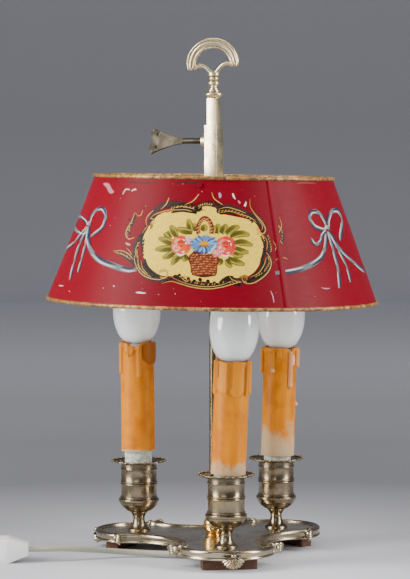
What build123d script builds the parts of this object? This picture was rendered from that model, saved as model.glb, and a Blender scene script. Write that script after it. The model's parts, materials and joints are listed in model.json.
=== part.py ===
"""A bouillotte lamp: a three-lobed plated tray with three candle lights round a post, and a tole
shade that slides up and down a square bar and is held there by a thumb key.

Millimetres. The origin is on the post's axis at table level, +Z is up, and one candle stands
towards -Y. Azimuth 0 is -Y and grows towards +X.
"""

import os
from math import atan, atan2, cos, degrees, pi, radians, sin, sqrt, tan

from build123d import *

# ---------------------------------------------------------------- driving dimensions
# Tray
TRAY_TOP = 14.0
TRAY_SHEET = 1.4
LOBES = 3
LOBE_REACH = 93.5
CORNER_INSET = 22.0
CORNER_TURN = 30.0
WAIST_INSET = 51.5
CORNER_INNER_R = 0.9
BORDER_WIDTH = 2.2
BORDER_BOTTOM = 8.5
BORDER_LIP = 2.9
BORDER_RISE = 1.5
SKIRT_WALL = 1.2
SKIRT_DROP = 3.4

# Cast ornaments on the border
SHELL_RIBS = 7
SHELL_SPREAD = 130.0
SHELL_LENGTH = 9.6
SHELL_RIB_WIDTH = 4.2
SHELL_THICK = 2.6
SHELL_TOP = 12.8
MOUNT_LAP = 3.0
SCROLL_R = 4.3
SCROLL_THICK = 4.6
SCROLL_EYE_R = 1.7
SCROLL_UP = 11.6
SCROLL_WALL = 1.0

# Feet
FOOT_LENGTH = 40.0
FOOT_DEPTH = 10.0
FOOT_INSET = 3.5
FOOT_GAP = 0.4
FOOT_CORNER = 1.0

# Post
ROD_R = 3.25
BAR_SIDE = 7.8
BAR_BOTTOM = 213.0
BAR_TOP = 339.0
SQUARE_TURN = -37.5
SPIGOT_R = 2.4
SPIGOT_LENGTH = 9.0
KNOP_R = 6.7
KNOP_HEIGHT = 9.6
NUT_HEIGHT = 3.0
NUT_ROOM = 5.6
POST_NUT_ROOM = 6.4
THREAD_GAP = 0.05
THREAD_CHAMFER = 0.5
BAR_CHAMFER = 1.0

# Collar and carrying handle
COLLAR_R = 7.3
COLLAR_HEIGHT = 5.0
COLLAR_EDGE = 1.2
NECK_R = 3.3
NECK_BEAD_R = 4.3
NECK_HEIGHT = 13.7
NECK_BEADS = (0.3, 0.54, 0.79)
STUD_R = 2.0
STUD_LENGTH = 11.0
HANDLE_TURN = -22.0
HANDLE_TILT = 4.5
HANDLE_HALF_WIDTH = 20.0
HANDLE_HEIGHT = 25.7
HANDLE_THICK = 5.6
HANDLE_BAND = 7.8
HANDLE_GROOVE = 0.9
HANDLE_EDGE = 1.7

# Shade and its carriage
SHADE_BOTTOM = 189.0
SHADE_TOP = 280.0
SHADE_BOTTOM_R = 123.0
SHADE_TOP_R = 88.0
SHADE_SHEET = 0.7
SHADE_WIRE_R = 1.4
SEAM_TURN = 17.5
SEAM_WIDTH = 2.6
SEAM_PROUD = 0.7
SLEEVE_SIDE = 10.4
SLEEVE_BORE = 8.2
SLEEVE_BOTTOM = 262.0
SLEEVE_TOP = 319.0
ARM_TURN = -15.0
ARM_WIDTH = 6.0
ARM_THICK = 1.6
ARM_TOP = 270.0
ARM_TAB = 9.0
ARM_TAB_GAP = 0.1
HUB_R = 10.0
HUB_HEIGHT = 4.0
RIVET_R = 1.2
RIVET_HEAD_R = 2.1
RIVET_HEAD = 0.9

# Thumb key
KEY_UP = 307.4
BOSS_R = 4.3
BOSS_PROUD = 4.0
KEY_R = 2.2
KEY_GAP = 0.06
KEY_SHAFT = 17.0
KEY_PLATE = 27.8
KEY_PLATE_WIDTH = 20.5
KEY_PLATE_THICK = 1.8
KEY_TIP = 15.0
KEY_NOTCH = 3.2
KEY_DIMPLE_R = 1.3
KEY_DIMPLE = 0.5

# Candle cups
CUP_INSET = 32.8
CUP_FOOT_R = 8.2
CUP_FOOT_EDGE = 1.0
CUP_NECK_R = 4.35
CUP_NECK_UP = 9.5
CUP_THROAT_R = 6.6
CUP_THROAT_UP = 14.0
BOWL_R = 15.1
BOWL_UP = 22.0
BOWL_LIP_UP = 24.4
NOZZLE_R = 13.4
NOZZLE_BORE_R = 12.6
NOZZLE_TOP_UP = 50.5
BEAD_UPS = (25.0, 35.3, 37.3, 46.7)
BEAD_R = 0.75
CUP_FLOOR_UP = 19.0

# Drip pans
PAN_SHEET = 1.0
PAN_R = 20.9
PAN_LOBES = 20
PAN_LOBE_R = 2.5
PAN_RIM_WIDTH = 3.6
PAN_RIM_HEIGHT = 2.5
PAN_COLLAR = 5.0
PAN_COLLAR_GAP = 0.1
PAN_COLLAR_WALL = 0.7

# Hollow clamping bolts through the cups
BOLT_R = 3.0
BOLT_BORE_R = 1.8
BOLT_HEAD_R = 5.0
BOLT_HEAD = 3.0
BOLT_BELOW = 0.8

# Candle fittings, measured along each candle's own axis from its seat
SEAT_GAP = 0.6
TUBE_R = 10.2
TUBE_WALL = 0.8
TUBE_HOLDER_GAP = 0.4
TUBE_HOLE_R = 3.4
FLOOR_SHEET = 1.2
CANDLE_R = 12.6
CANDLE_BORE_R = 11.3
CANDLE_LENGTH = 82.5
CANDLE_LIFT = 33.6
CANDLE_EDGE = 0.6
HOLDER_R = 10.9
HOLDER_LENGTH = 29.6
HOLDER_BELOW_RIM = 2.0
SPIGOT_GAP = 0.3
HOLDER_SPIGOT = 20.0
HOLDER_WALL = 1.6
HOLDER_FLOOR = 3.0
SCREW_SHELL_R = 7.5
SCREW_SHELL_BORE_R = 7.05
SCREW_SHELL_LENGTH = 22.0
CONTACT_R = 2.4
CONTACT_HEIGHT = 1.6
CAP_R = 6.75
CAP_LENGTH = 24.0
CAP_TIP_R = 2.6
CAP_TIP = 2.2
CAP_ABOVE_HOLDER = 1.0
GLASS_R = 17.9
GLASS_HEIGHT = 74.0
GLASS_WIDEST = 29.0
GLASS_WALL = 0.9
DRIP_R = 1.5
DRIP_DROP = 10.0

# Which candle is where: azimuth, how far its sleeve is drawn up, and its lean to the viewer's right
FRONT_RAISED = 0.0
RIGHT_RAISED = 2.1
LEFT_RAISED = 7.3
CANDLES = {
    "front": (0.0, FRONT_RAISED, 2.4),
    "right": (120.0, RIGHT_RAISED, 1.5),
    "left": (-120.0, LEFT_RAISED, -0.6),
}
VIEW_TURN = -8.5
QUARTER_TURN = 90.0
# Wax runs on each candle: azimuth about its axis, and how many drops long each run is
DRIPS = {
    "front": ((-100.0, 3.4), (-62.0, 1.2), (62.0, 0.9), (86.0, 3.1)),
    "right": ((-84.0, 2.2), (-30.0, 1.5), (44.0, 3.2), (84.0, 1.6)),
    "left": ((-96.0, 2.5), (-6.0, 2.6), (40.0, 1.8), (76.0, 1.7)),
}

# Wiring under the tray
BLOCK_LENGTH = 24.0
BLOCK_WIDTH = 12.0
BLOCK_HEIGHT = 8.2
CLIP_LENGTH = 17.0
CLIP_WIDTH = 7.0
CLIP_BOTTOM = 3.4
SCREW_R = 1.5
SCREW_HEAD_R = 2.6
SCREW_HEAD = 1.4
LEAD_R = 0.9

# Cord, its switch and its plug
CORD_R = 2.0
CORD_GAP = 0.2
BEND_SHARE = 0.45
SWITCH_X = -170.4
SWITCH_Y = -16.0
SWITCH_TURN = 171.5
SWITCH_LENGTH = 62.0
SWITCH_WIDTH = 26.0
SWITCH_HEIGHT = 17.5
SWITCH_SPLIT = 9.2
SWITCH_END_WIDTH = 13.0
SWITCH_TAPER = 15.0
SWITCH_END_BOTTOM = 5.4
SWITCH_END_TOP = 13.4
SWITCH_SLOPE = 7.0
SWITCH_CORNER = 2.0
SWITCH_SCREW_SPACING = 40.0
CORD_INSERT = 5.0
CHANNEL_DEPTH = 9.0
ROCKER_R = 10.0
ROCKER_WIDTH = 11.0
ROCKER_GAP = 0.35
ROCKER_SUNK = 3.5
ROCKER_TRAVEL = 14.0
ROCKER_PIN_R = 1.2
ROCKER_PIN = 1.2
ROCKER_BELLY = 2.4
ROCKER_WELL = 3.0
COIL_X = -206.0
COIL_Y = 35.5
COIL_MEAN_R = 23.0
COIL_WIDTH = 15.6
COIL_HEIGHT = 16.6
PLUG_LENGTH = 33.0
PLUG_WIDTH = 25.0
PLUG_NOSE_WIDTH = 31.0
PLUG_HEIGHT = 13.6
PLUG_BACK = 10.0
PLUG_X = -231.5
PLUG_Y = 75.5
PLUG_TURN = 92.0
PLUG_EDGE = 1.5
PIN_SEAT = 6.0
PIN_R = 2.0
PIN_LENGTH = 19.0
PIN_SPACING = 18.6

# ---------------------------------------------------------------- places worked out from them
UP = Vector(0, 0, 1)
POST = Axis((0, 0, 0), (0, 0, 1))
TRAY_UNDER = TRAY_TOP - TRAY_SHEET
NUT_BOTTOM = TRAY_UNDER - NUT_HEIGHT
COLLAR_TOP = BAR_TOP + COLLAR_HEIGHT
NECK_TOP = COLLAR_TOP + NECK_HEIGHT
CORNER_REACH = LOBE_REACH - CORNER_INSET
WAIST_REACH = LOBE_REACH - WAIST_INSET
CUP_REACH = LOBE_REACH - CUP_INSET
HOLDER_FROM = CANDLE_LIFT + CANDLE_LENGTH - HOLDER_BELOW_RIM - HOLDER_LENGTH
TUBE_LENGTH = HOLDER_FROM - TUBE_HOLDER_GAP
SHADE_SLOPE = (SHADE_BOTTOM_R - SHADE_TOP_R) / (SHADE_TOP - SHADE_BOTTOM)
SHADE_TILT = degrees(atan(SHADE_SLOPE))


def compass(azimuth, reach=1.0, height=0.0):
    """The point at an azimuth, where 0 is -Y and angles grow towards +X."""
    return Vector(reach * sin(radians(azimuth)), -reach * cos(radians(azimuth)), height)


def through_axis(seat):
    """The plane through a turned piece's axis: outwards, then along the axis."""
    return Plane(seat.origin, x_dir=seat.x_dir, z_dir=seat.x_dir.cross(seat.z_dir))


def axis_of(seat):
    return Axis(seat.origin, seat.z_dir)


def facing(azimuth, reach, height):
    """A plane that faces outwards at an azimuth: along the tangent, then up."""
    outward = compass(azimuth)
    return Plane(compass(azimuth, reach, height), x_dir=UP.cross(outward), z_dir=outward)


def shade_r(height):
    """The shade's outer radius at a height."""
    return SHADE_BOTTOM_R - SHADE_SLOPE * (height - SHADE_BOTTOM)


def save(piece, name):
    piece.part.label = name
    export_step(piece.part, f"parts/{name}.step")


os.makedirs("parts", exist_ok=True)
GROUND = Plane.XY
CUP_TURNS = [azimuth for azimuth, _, _ in CANDLES.values()]
BAR_PLANE = Plane(GROUND.origin, x_dir=compass(SQUARE_TURN), z_dir=UP)


# ---------------------------------------------------------------- tray
lobe_chord = CORNER_REACH * sin(radians(CORNER_TURN))
lobe_rise = LOBE_REACH - CORNER_REACH * cos(radians(CORNER_TURN))
LOBE_R = (lobe_chord**2 + lobe_rise**2) / (2 * lobe_rise)
waist_chord = CORNER_REACH * sin(radians(180 / LOBES - CORNER_TURN))
waist_rise = CORNER_REACH * cos(radians(180 / LOBES - CORNER_TURN)) - WAIST_REACH
WAIST_R = (waist_chord**2 + waist_rise**2) / (2 * waist_rise)


def tray_corner(inset):
    """Where a lobe's arc meets a waist's, both drawn in by an inset: turn off the lobe, reach."""
    lobe_r, waist_r = LOBE_R - inset, WAIST_R + inset
    lobe, waist = compass(0, LOBE_REACH - LOBE_R), compass(180 / LOBES, WAIST_REACH + WAIST_R)
    apart = (waist - lobe).length
    along = (lobe_r**2 - waist_r**2 + apart**2) / (2 * apart)
    aside = sqrt(lobe_r**2 - along**2)
    to_waist = (waist - lobe).normalized()
    corner = lobe + to_waist * along + to_waist.cross(UP) * aside
    return degrees(atan2(corner.X, -corner.Y)), corner.length


def tray_outline(inset):
    """The three-lobed outline, drawn in by an inset, as a sketch on the ground plane."""
    turn, reach = tray_corner(inset)
    with BuildSketch() as outline:
        with BuildLine():
            for lobe in range(LOBES):
                middle = lobe * 360 / LOBES
                waist = middle + 180 / LOBES
                following = middle + 360 / LOBES
                ThreePointArc(
                    compass(middle - turn, reach),
                    compass(middle, LOBE_REACH - inset),
                    compass(middle + turn, reach),
                )
                ThreePointArc(
                    compass(middle + turn, reach),
                    compass(waist, WAIST_REACH - inset),
                    compass(following - turn, reach),
                )
        make_face()
        fillet(outline.vertices(), CORNER_INNER_R + BORDER_WIDTH + BORDER_LIP - inset)
    return outline.sketch


with BuildPart() as base_tray:
    with BuildSketch(Plane.XY.offset(TRAY_UNDER)):
        add(tray_outline(BORDER_WIDTH))
    extrude(amount=TRAY_SHEET)
    with BuildSketch(Plane.XY.offset(TRAY_UNDER - SKIRT_DROP)):
        add(tray_outline(BORDER_WIDTH))
        add(tray_outline(BORDER_WIDTH + SKIRT_WALL), mode=Mode.SUBTRACT)
    extrude(amount=SKIRT_DROP)
    with Locations((0, 0, TRAY_TOP)):
        Hole(ROD_R + THREAD_GAP)
    with Locations([compass(turn, CUP_REACH, TRAY_TOP) for turn in CUP_TURNS]):
        Hole(BOLT_R + THREAD_GAP)
save(base_tray, "base_tray")

with BuildPart() as tray_border:
    with BuildSketch(Plane.XY.offset(BORDER_BOTTOM)):
        add(tray_outline(0))
        add(tray_outline(BORDER_WIDTH), mode=Mode.SUBTRACT)
    extrude(amount=TRAY_TOP - BORDER_BOTTOM)
    with BuildSketch(Plane.XY.offset(TRAY_TOP)):
        add(tray_outline(BORDER_WIDTH / 2))
        add(tray_outline(BORDER_WIDTH + BORDER_LIP), mode=Mode.SUBTRACT)
    extrude(amount=BORDER_RISE)
    chamfer(tray_border.faces().sort_by(Axis.Z)[-1].outer_wire().edges(), BORDER_RISE / 3)
save(tray_border, "tray_border")

# Cast scallop shells, one hung over the border at the middle of each lobe
with BuildPart() as shell_mounts:
    for lobe in range(LOBES):
        face = facing(lobe * 360 / LOBES, LOBE_REACH - MOUNT_LAP, SHELL_TOP)
        with BuildSketch(face):
            for rib in range(SHELL_RIBS):
                lean = (rib / (SHELL_RIBS - 1) - 0.5) * SHELL_SPREAD
                middle = SHELL_LENGTH / 2 * Vector(sin(radians(lean)), -cos(radians(lean)))
                with Locations(Location(middle, (0, 0, lean))):
                    Ellipse(SHELL_RIB_WIDTH / 2, SHELL_LENGTH / 2)
        extrude(amount=MOUNT_LAP + SHELL_THICK)
        with BuildSketch(face):
            Circle(SHELL_RIB_WIDTH / 2)
        extrude(amount=MOUNT_LAP + SHELL_THICK * 1.4)
    add(tray_border.part, mode=Mode.SUBTRACT)
    add(base_tray.part, mode=Mode.SUBTRACT)
save(shell_mounts, "shell_mounts")

# Cast scrolls, one at each corner between a lobe and a waist
with BuildPart() as scroll_mounts:
    for lobe in range(LOBES):
        for side in (-1, 1):
            turn = lobe * 360 / LOBES + side * CORNER_TURN
            face = facing(turn, CORNER_REACH - MOUNT_LAP, SCROLL_UP)
            with BuildSketch(face):
                Circle(SCROLL_R)
            extrude(amount=MOUNT_LAP + SCROLL_THICK)
            with BuildSketch(face.offset(MOUNT_LAP + SCROLL_THICK)):
                Circle(SCROLL_R - SCROLL_WALL)
                Circle(SCROLL_EYE_R, mode=Mode.SUBTRACT)
            extrude(amount=-SCROLL_THICK / 3, mode=Mode.SUBTRACT)
    add(tray_border.part, mode=Mode.SUBTRACT)
    add(base_tray.part, mode=Mode.SUBTRACT)
save(scroll_mounts, "scroll_mounts")

# Cork blocks glued under the lobes, as far out as their corners fit inside the skirt, and relieved
# wherever a cup's nut would stand in them
inside_r = LOBE_R - BORDER_WIDTH - SKIRT_WALL - FOOT_GAP
foot_face = LOBE_REACH - LOBE_R + sqrt(inside_r**2 - (FOOT_LENGTH / 2) ** 2) - FOOT_INSET
FOOT_REACH = foot_face - FOOT_DEPTH / 2
with BuildPart() as foot_pads:
    for lobe in range(LOBES):
        turn = lobe * 360 / LOBES
        with BuildSketch(Plane(compass(turn, FOOT_REACH), x_dir=UP.cross(compass(turn)), z_dir=UP)):
            Rectangle(FOOT_LENGTH, FOOT_DEPTH)
        extrude(amount=TRAY_UNDER)
    fillet(foot_pads.edges().filter_by(Axis.Z), FOOT_CORNER)
    with BuildSketch(Plane.XY.offset(NUT_BOTTOM - BOLT_BELOW - FOOT_GAP)):
        with Locations([compass(turn, CUP_REACH) for turn in CUP_TURNS]):
            Circle(NUT_ROOM + FOOT_GAP)
    extrude(amount=NUT_HEIGHT + BOLT_BELOW + FOOT_GAP, mode=Mode.SUBTRACT)
save(foot_pads, "foot_pads")


# ---------------------------------------------------------------- post
with BuildPart() as centre_knop:
    with BuildSketch(Plane.XZ):
        with BuildLine():
            bore = ROD_R + THREAD_GAP
            flat = KNOP_R * 0.8
            Line((bore, TRAY_TOP), (flat, TRAY_TOP))
            ThreePointArc(
                (flat, TRAY_TOP),
                (KNOP_R, TRAY_TOP + KNOP_HEIGHT * 0.42),
                (bore, TRAY_TOP + KNOP_HEIGHT),
            )
            Line((bore, TRAY_TOP + KNOP_HEIGHT), (bore, TRAY_TOP))
        make_face()
    revolve(axis=POST)
save(centre_knop, "centre_knop")

with BuildPart() as post_rod:
    with BuildSketch(Plane.XY.offset(NUT_BOTTOM - BOLT_BELOW)):
        Circle(ROD_R)
    extrude(amount=BAR_BOTTOM - NUT_BOTTOM + BOLT_BELOW)
    with BuildSketch(Plane.XY.offset(BAR_BOTTOM)):
        Circle(SPIGOT_R)
    extrude(amount=SPIGOT_LENGTH)
    chamfer(post_rod.edges().group_by(Axis.Z)[0], THREAD_CHAMFER)
save(post_rod, "post_rod")

with BuildPart() as post_bar:
    with BuildSketch(BAR_PLANE.offset(BAR_BOTTOM)):
        Rectangle(BAR_SIDE, BAR_SIDE)
    extrude(amount=BAR_TOP - BAR_BOTTOM)
    chamfer(post_bar.edges().group_by(Axis.Z)[0], BAR_CHAMFER)
    with BuildSketch(Plane.XY.offset(BAR_BOTTOM)):
        Circle(SPIGOT_R + THREAD_GAP)
    extrude(amount=SPIGOT_LENGTH + THREAD_CHAMFER, mode=Mode.SUBTRACT)
    with BuildSketch(Plane.XY.offset(BAR_TOP)):
        Circle(STUD_R + THREAD_GAP)
    extrude(amount=-STUD_LENGTH, mode=Mode.SUBTRACT)
save(post_bar, "post_bar")

with BuildPart() as post_nut:
    with BuildSketch(Plane.XY.offset(NUT_BOTTOM)):
        RegularPolygon(POST_NUT_ROOM, 6)
        Circle(ROD_R + THREAD_GAP, mode=Mode.SUBTRACT)
    extrude(amount=NUT_HEIGHT)
save(post_nut, "post_nut")

with BuildPart() as cup_nuts:
    with BuildSketch(Plane.XY.offset(NUT_BOTTOM)):
        with Locations([compass(turn, CUP_REACH) for turn in CUP_TURNS]):
            RegularPolygon(NUT_ROOM, 6)
            Circle(BOLT_R + THREAD_GAP, mode=Mode.SUBTRACT)
    extrude(amount=NUT_HEIGHT)
save(cup_nuts, "cup_nuts")

with BuildPart() as finial_collar:
    with BuildSketch(Plane.XZ):
        with BuildLine():
            inner, outer = STUD_R + THREAD_GAP, COLLAR_R
            waist = BAR_SIDE / 2
            Polyline(
                (inner, COLLAR_TOP),
                (inner, BAR_TOP),
                (waist, BAR_TOP),
                (outer - COLLAR_EDGE, BAR_TOP + COLLAR_HEIGHT * 0.35),
            )
            ThreePointArc(
                (outer - COLLAR_EDGE, BAR_TOP + COLLAR_HEIGHT * 0.35),
                (outer, BAR_TOP + COLLAR_HEIGHT * 0.55),
                (outer - COLLAR_EDGE, BAR_TOP + COLLAR_HEIGHT * 0.75),
            )
            Polyline(
                (outer - COLLAR_EDGE, BAR_TOP + COLLAR_HEIGHT * 0.75),
                (waist, COLLAR_TOP),
                (inner, COLLAR_TOP),
            )
        make_face()
    revolve(axis=POST)
save(finial_collar, "finial_collar")


# ---------------------------------------------------------------- carrying handle
handle_side = compass(HANDLE_TURN + QUARTER_TURN) * cos(radians(HANDLE_TILT))
HANDLE_PLANE = Plane(
    (0, 0, NECK_TOP),
    x_dir=handle_side + UP * sin(radians(HANDLE_TILT)),
    z_dir=compass(HANDLE_TURN),
)


def flipped(point):
    return (-point[0], point[1])


with BuildPart() as carrying_handle:
    with BuildSketch(Plane.XZ):
        with BuildLine():
            Polyline(
                (0, COLLAR_TOP - STUD_LENGTH + THREAD_CHAMFER),
                (STUD_R, COLLAR_TOP - STUD_LENGTH + THREAD_CHAMFER),
                (STUD_R, COLLAR_TOP),
                (NECK_R * 1.4, COLLAR_TOP),
                (NECK_R, COLLAR_TOP + NECK_HEIGHT * 0.15),
                (NECK_R, NECK_TOP),
                (0, NECK_TOP),
                close=True,
            )
        make_face()
        bead = NECK_BEAD_R - NECK_R + STUD_R / 4
        with Locations(
            [(NECK_BEAD_R - bead, COLLAR_TOP + NECK_HEIGHT * share) for share in NECK_BEADS]
        ):
            Ellipse(bead, NECK_HEIGHT / 7)
    revolve(axis=POST)

    half, top, band = HANDLE_HALF_WIDTH, HANDLE_HEIGHT, HANDLE_BAND
    tip = (half, top * 0.27)
    toe = (half - band * 0.28, top * 0.13)
    heel = (half - band * 0.76, top * 0.19)
    crook = (half - band, top * 0.36)
    root = (NECK_R * 0.8, -NECK_R * 0.2)
    with BuildSketch(HANDLE_PLANE):
        with BuildLine():
            ThreePointArc(flipped(tip), (0, top), tip)
            ThreePointArc(tip, toe, heel)
            Spline(heel, (half * 0.42, top * 0.22), (half * 0.23, top * 0.12), root)
            Line(root, flipped(root))
            Spline(
                flipped(root),
                flipped((half * 0.23, top * 0.12)),
                flipped((half * 0.42, top * 0.22)),
                flipped(heel),
            )
            ThreePointArc(flipped(heel), flipped(toe), flipped(tip))
        make_face()
        with BuildLine():
            ThreePointArc(flipped(crook), (0, top - band), crook)
            Spline(crook, (half * 0.35, top * 0.32), (0, top * 0.1))
            Spline(flipped(crook), flipped((half * 0.35, top * 0.32)), (0, top * 0.1))
        make_face(mode=Mode.SUBTRACT)
    extrude(amount=HANDLE_THICK / 2, both=True)
    for side in (1, -1):
        with BuildSketch(HANDLE_PLANE.offset(side * HANDLE_THICK / 2)):
            with BuildLine():
                rim, lip = HANDLE_EDGE, band - HANDLE_EDGE
                outside, inside = (half - rim, tip[1]), (half - lip, crook[1])
                ThreePointArc(flipped(outside), (0, top - rim), outside)
                Line(outside, inside)
                ThreePointArc(inside, (0, top - lip), flipped(inside))
                Line(flipped(inside), flipped(outside))
            make_face()
        extrude(amount=-side * HANDLE_GROOVE, mode=Mode.SUBTRACT)
save(carrying_handle, "carrying_handle")


# ---------------------------------------------------------------- shade and its carriage
with BuildPart() as slide_sleeve:
    with BuildSketch(BAR_PLANE.offset(SLEEVE_BOTTOM)):
        Rectangle(SLEEVE_SIDE, SLEEVE_SIDE)
    extrude(amount=SLEEVE_TOP - SLEEVE_BOTTOM)
    KEY_TURN = SQUARE_TURN - QUARTER_TURN
    boss_face = Plane(
        compass(KEY_TURN, 0, KEY_UP), x_dir=UP, z_dir=compass(KEY_TURN)
    )
    with BuildSketch(boss_face):
        Circle(BOSS_R)
    extrude(amount=SLEEVE_SIDE / 2 + BOSS_PROUD)
    with BuildSketch(BAR_PLANE.offset(SLEEVE_BOTTOM)):
        Rectangle(SLEEVE_BORE, SLEEVE_BORE)
    extrude(amount=SLEEVE_TOP - SLEEVE_BOTTOM, mode=Mode.SUBTRACT)
    with BuildSketch(boss_face):
        Circle(KEY_R + KEY_GAP)
    extrude(amount=SLEEVE_SIDE + BOSS_PROUD, mode=Mode.SUBTRACT)
save(slide_sleeve, "slide_sleeve")

# The key's screw bears on the bar; its wing starts where the shaft ends
with BuildPart() as thumb_key:
    with BuildSketch(boss_face.offset(BAR_SIDE / 2 + KEY_GAP)):
        Circle(KEY_R)
    wing_from = SLEEVE_SIDE / 2 + BOSS_PROUD + KEY_SHAFT
    extrude(amount=wing_from - BAR_SIDE / 2)
    wing_level = compass(KEY_TURN).cross(UP)
    wing_plane = Plane(
        boss_face.origin,
        x_dir=compass(KEY_TURN),
        z_dir=wing_level * cos(radians(KEY_TIP)) - UP * sin(radians(KEY_TIP)),
    )
    wing_end, wing_half = wing_from + KEY_PLATE, KEY_PLATE_WIDTH / 2
    with BuildSketch(wing_plane):
        with BuildLine():
            neck = (wing_from - KEY_R, KEY_R * 0.8)
            hollow = (wing_from + KEY_PLATE * 0.4, wing_half * 0.42)
            horn = (wing_end - KEY_NOTCH * 0.5, wing_half)
            notch = (wing_end - KEY_NOTCH, 0)
            Spline(neck, hollow, horn)
            ThreePointArc(horn, (wing_end, wing_half * 0.6), notch)
            ThreePointArc(notch, (wing_end, -wing_half * 0.6), (horn[0], -horn[1]))
            Spline((horn[0], -horn[1]), (hollow[0], -hollow[1]), (neck[0], -neck[1]))
            Line((neck[0], -neck[1]), neck)
        make_face()
    extrude(amount=KEY_PLATE_THICK / 2, both=True)
    for side in (1, -1):
        with BuildSketch(wing_plane.offset(side * KEY_PLATE_THICK / 2)):
            with Locations(
                (wing_end - KEY_PLATE * 0.24, wing_half * 0.5),
                (wing_end - KEY_PLATE * 0.24, -wing_half * 0.5),
            ):
                Circle(KEY_DIMPLE_R)
        extrude(amount=-side * KEY_DIMPLE, mode=Mode.SUBTRACT)
save(thumb_key, "thumb_key")

SHADE_WALL = SHADE_SHEET / cos(radians(SHADE_TILT))
SKIN_BOTTOM = SHADE_BOTTOM + SHADE_WIRE_R
SKIN_TOP = SHADE_TOP - SHADE_WIRE_R
ARM_TURNS = [ARM_TURN + arm * 360 / LOBES for arm in range(LOBES)]
RIVET_UP = ARM_TOP - ARM_THICK + ARM_TAB * 0.7


def rivet_plane(turn):
    """On the shade's outer face at a rivet, facing straight out of the sheet."""
    outward = compass(turn) * cos(radians(SHADE_TILT)) + UP * sin(radians(SHADE_TILT))
    return Plane(compass(turn, shade_r(RIVET_UP), RIVET_UP), x_dir=UP.cross(outward), z_dir=outward)


with BuildPart() as shade_skin:
    with BuildSketch(Plane.XZ):
        Polygon(
            (shade_r(SKIN_BOTTOM), SKIN_BOTTOM),
            (shade_r(SKIN_TOP), SKIN_TOP),
            (shade_r(SKIN_TOP) - SHADE_WALL, SKIN_TOP),
            (shade_r(SKIN_BOTTOM) - SHADE_WALL, SKIN_BOTTOM),
            align=None,
        )
    revolve(axis=POST)
    seam_up = (SKIN_BOTTOM + SKIN_TOP) / 2
    seam_out = compass(SEAM_TURN) * cos(radians(SHADE_TILT)) + UP * sin(radians(SHADE_TILT))
    seam_plane = Plane(
        compass(SEAM_TURN, shade_r(seam_up), seam_up), x_dir=UP.cross(seam_out), z_dir=seam_out
    )
    seam_length = (SKIN_TOP - SKIN_BOTTOM) / cos(radians(SHADE_TILT)) - SHADE_WIRE_R
    with BuildSketch(seam_plane.offset(-SHADE_SHEET / 2)):
        Rectangle(SEAM_WIDTH, seam_length)
    extrude(amount=SHADE_SHEET / 2 + SEAM_PROUD)
    for turn in ARM_TURNS:
        with BuildSketch(rivet_plane(turn)):
            Circle(RIVET_R + THREAD_GAP)
        extrude(amount=-2 * SHADE_SHEET, both=True, mode=Mode.SUBTRACT)
save(shade_skin, "shade_skin")

for name, up, edge in (
    ("shade_top_wire", SHADE_TOP, SKIN_TOP),
    ("shade_bottom_wire", SHADE_BOTTOM, SKIN_BOTTOM),
):
    with BuildPart() as wire:
        with BuildSketch(Plane.XZ):
            with Locations((shade_r(edge) - SHADE_WALL / 2, up)):
                Circle(SHADE_WIRE_R)
        revolve(axis=POST)
    save(wire, name)

with BuildPart() as shade_spider:
    with BuildSketch(Plane.XY.offset(ARM_TOP - HUB_HEIGHT)):
        Circle(HUB_R)
    extrude(amount=HUB_HEIGHT)
    for turn in ARM_TURNS:
        arm_plane = through_axis(Plane(GROUND.origin, x_dir=compass(turn), z_dir=UP))
        under, tab_top = ARM_TOP - ARM_THICK, ARM_TOP - ARM_THICK + ARM_TAB
        inset = SHADE_WALL + ARM_TAB_GAP
        with BuildSketch(arm_plane):
            Polygon(
                (HUB_R / 2, under),
                (shade_r(under) - inset, under),
                (shade_r(tab_top) - inset, tab_top),
                (shade_r(tab_top) - inset - ARM_THICK, tab_top),
                (shade_r(ARM_TOP) - inset - ARM_THICK, ARM_TOP),
                (HUB_R / 2, ARM_TOP),
                align=None,
            )
        extrude(amount=ARM_WIDTH / 2, both=True)
        with BuildSketch(rivet_plane(turn)):
            Circle(RIVET_R + THREAD_GAP)
        extrude(amount=-2 * (SHADE_SHEET + ARM_THICK), mode=Mode.SUBTRACT)
    with BuildSketch(BAR_PLANE.offset(ARM_TOP - HUB_HEIGHT)):
        Rectangle(SLEEVE_SIDE + 2 * THREAD_GAP, SLEEVE_SIDE + 2 * THREAD_GAP)
    extrude(amount=HUB_HEIGHT, mode=Mode.SUBTRACT)
save(shade_spider, "shade_spider")

RIVET_GRIP = (SHADE_WALL + ARM_TAB_GAP + ARM_THICK) * cos(radians(SHADE_TILT))
with BuildPart() as shade_rivets:
    for turn in ARM_TURNS:
        face = rivet_plane(turn)
        with BuildSketch(face.offset(-RIVET_GRIP - THREAD_GAP)):
            Circle(RIVET_R)
        extrude(amount=RIVET_GRIP + 2 * THREAD_GAP)
        with BuildSketch(face.offset(THREAD_GAP), face.offset(-RIVET_GRIP - THREAD_GAP - RIVET_HEAD)):
            Circle(RIVET_HEAD_R)
        extrude(amount=RIVET_HEAD)
save(shade_rivets, "shade_rivets")


# ---------------------------------------------------------------- candle lights
def drawn(outline):
    """A face from a list of points, in a sketch."""
    Polygon(*outline, align=None)


def glass_section(rim, wall):
    """Half the section of a candle bulb, drawn in by a wall, from its neck to its tip."""
    neck, tip = (CAP_R - wall, rim), (0, rim + GLASS_HEIGHT - wall)
    flare = (GLASS_R * 0.72 - wall, rim + GLASS_WIDEST * 0.3)
    belly = (GLASS_R - wall, rim + GLASS_WIDEST)
    shoulder = (GLASS_R * 0.66 - wall, rim + GLASS_HEIGHT * 0.74)
    with BuildSketch() as half_section:
        with BuildLine():
            Spline(neck, flare, belly, shoulder, tip, tangents=((0.8, 1), (-1, -0.1)))
            Polyline(tip, (0, rim), neck)
        make_face()
    return half_section.sketch


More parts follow.
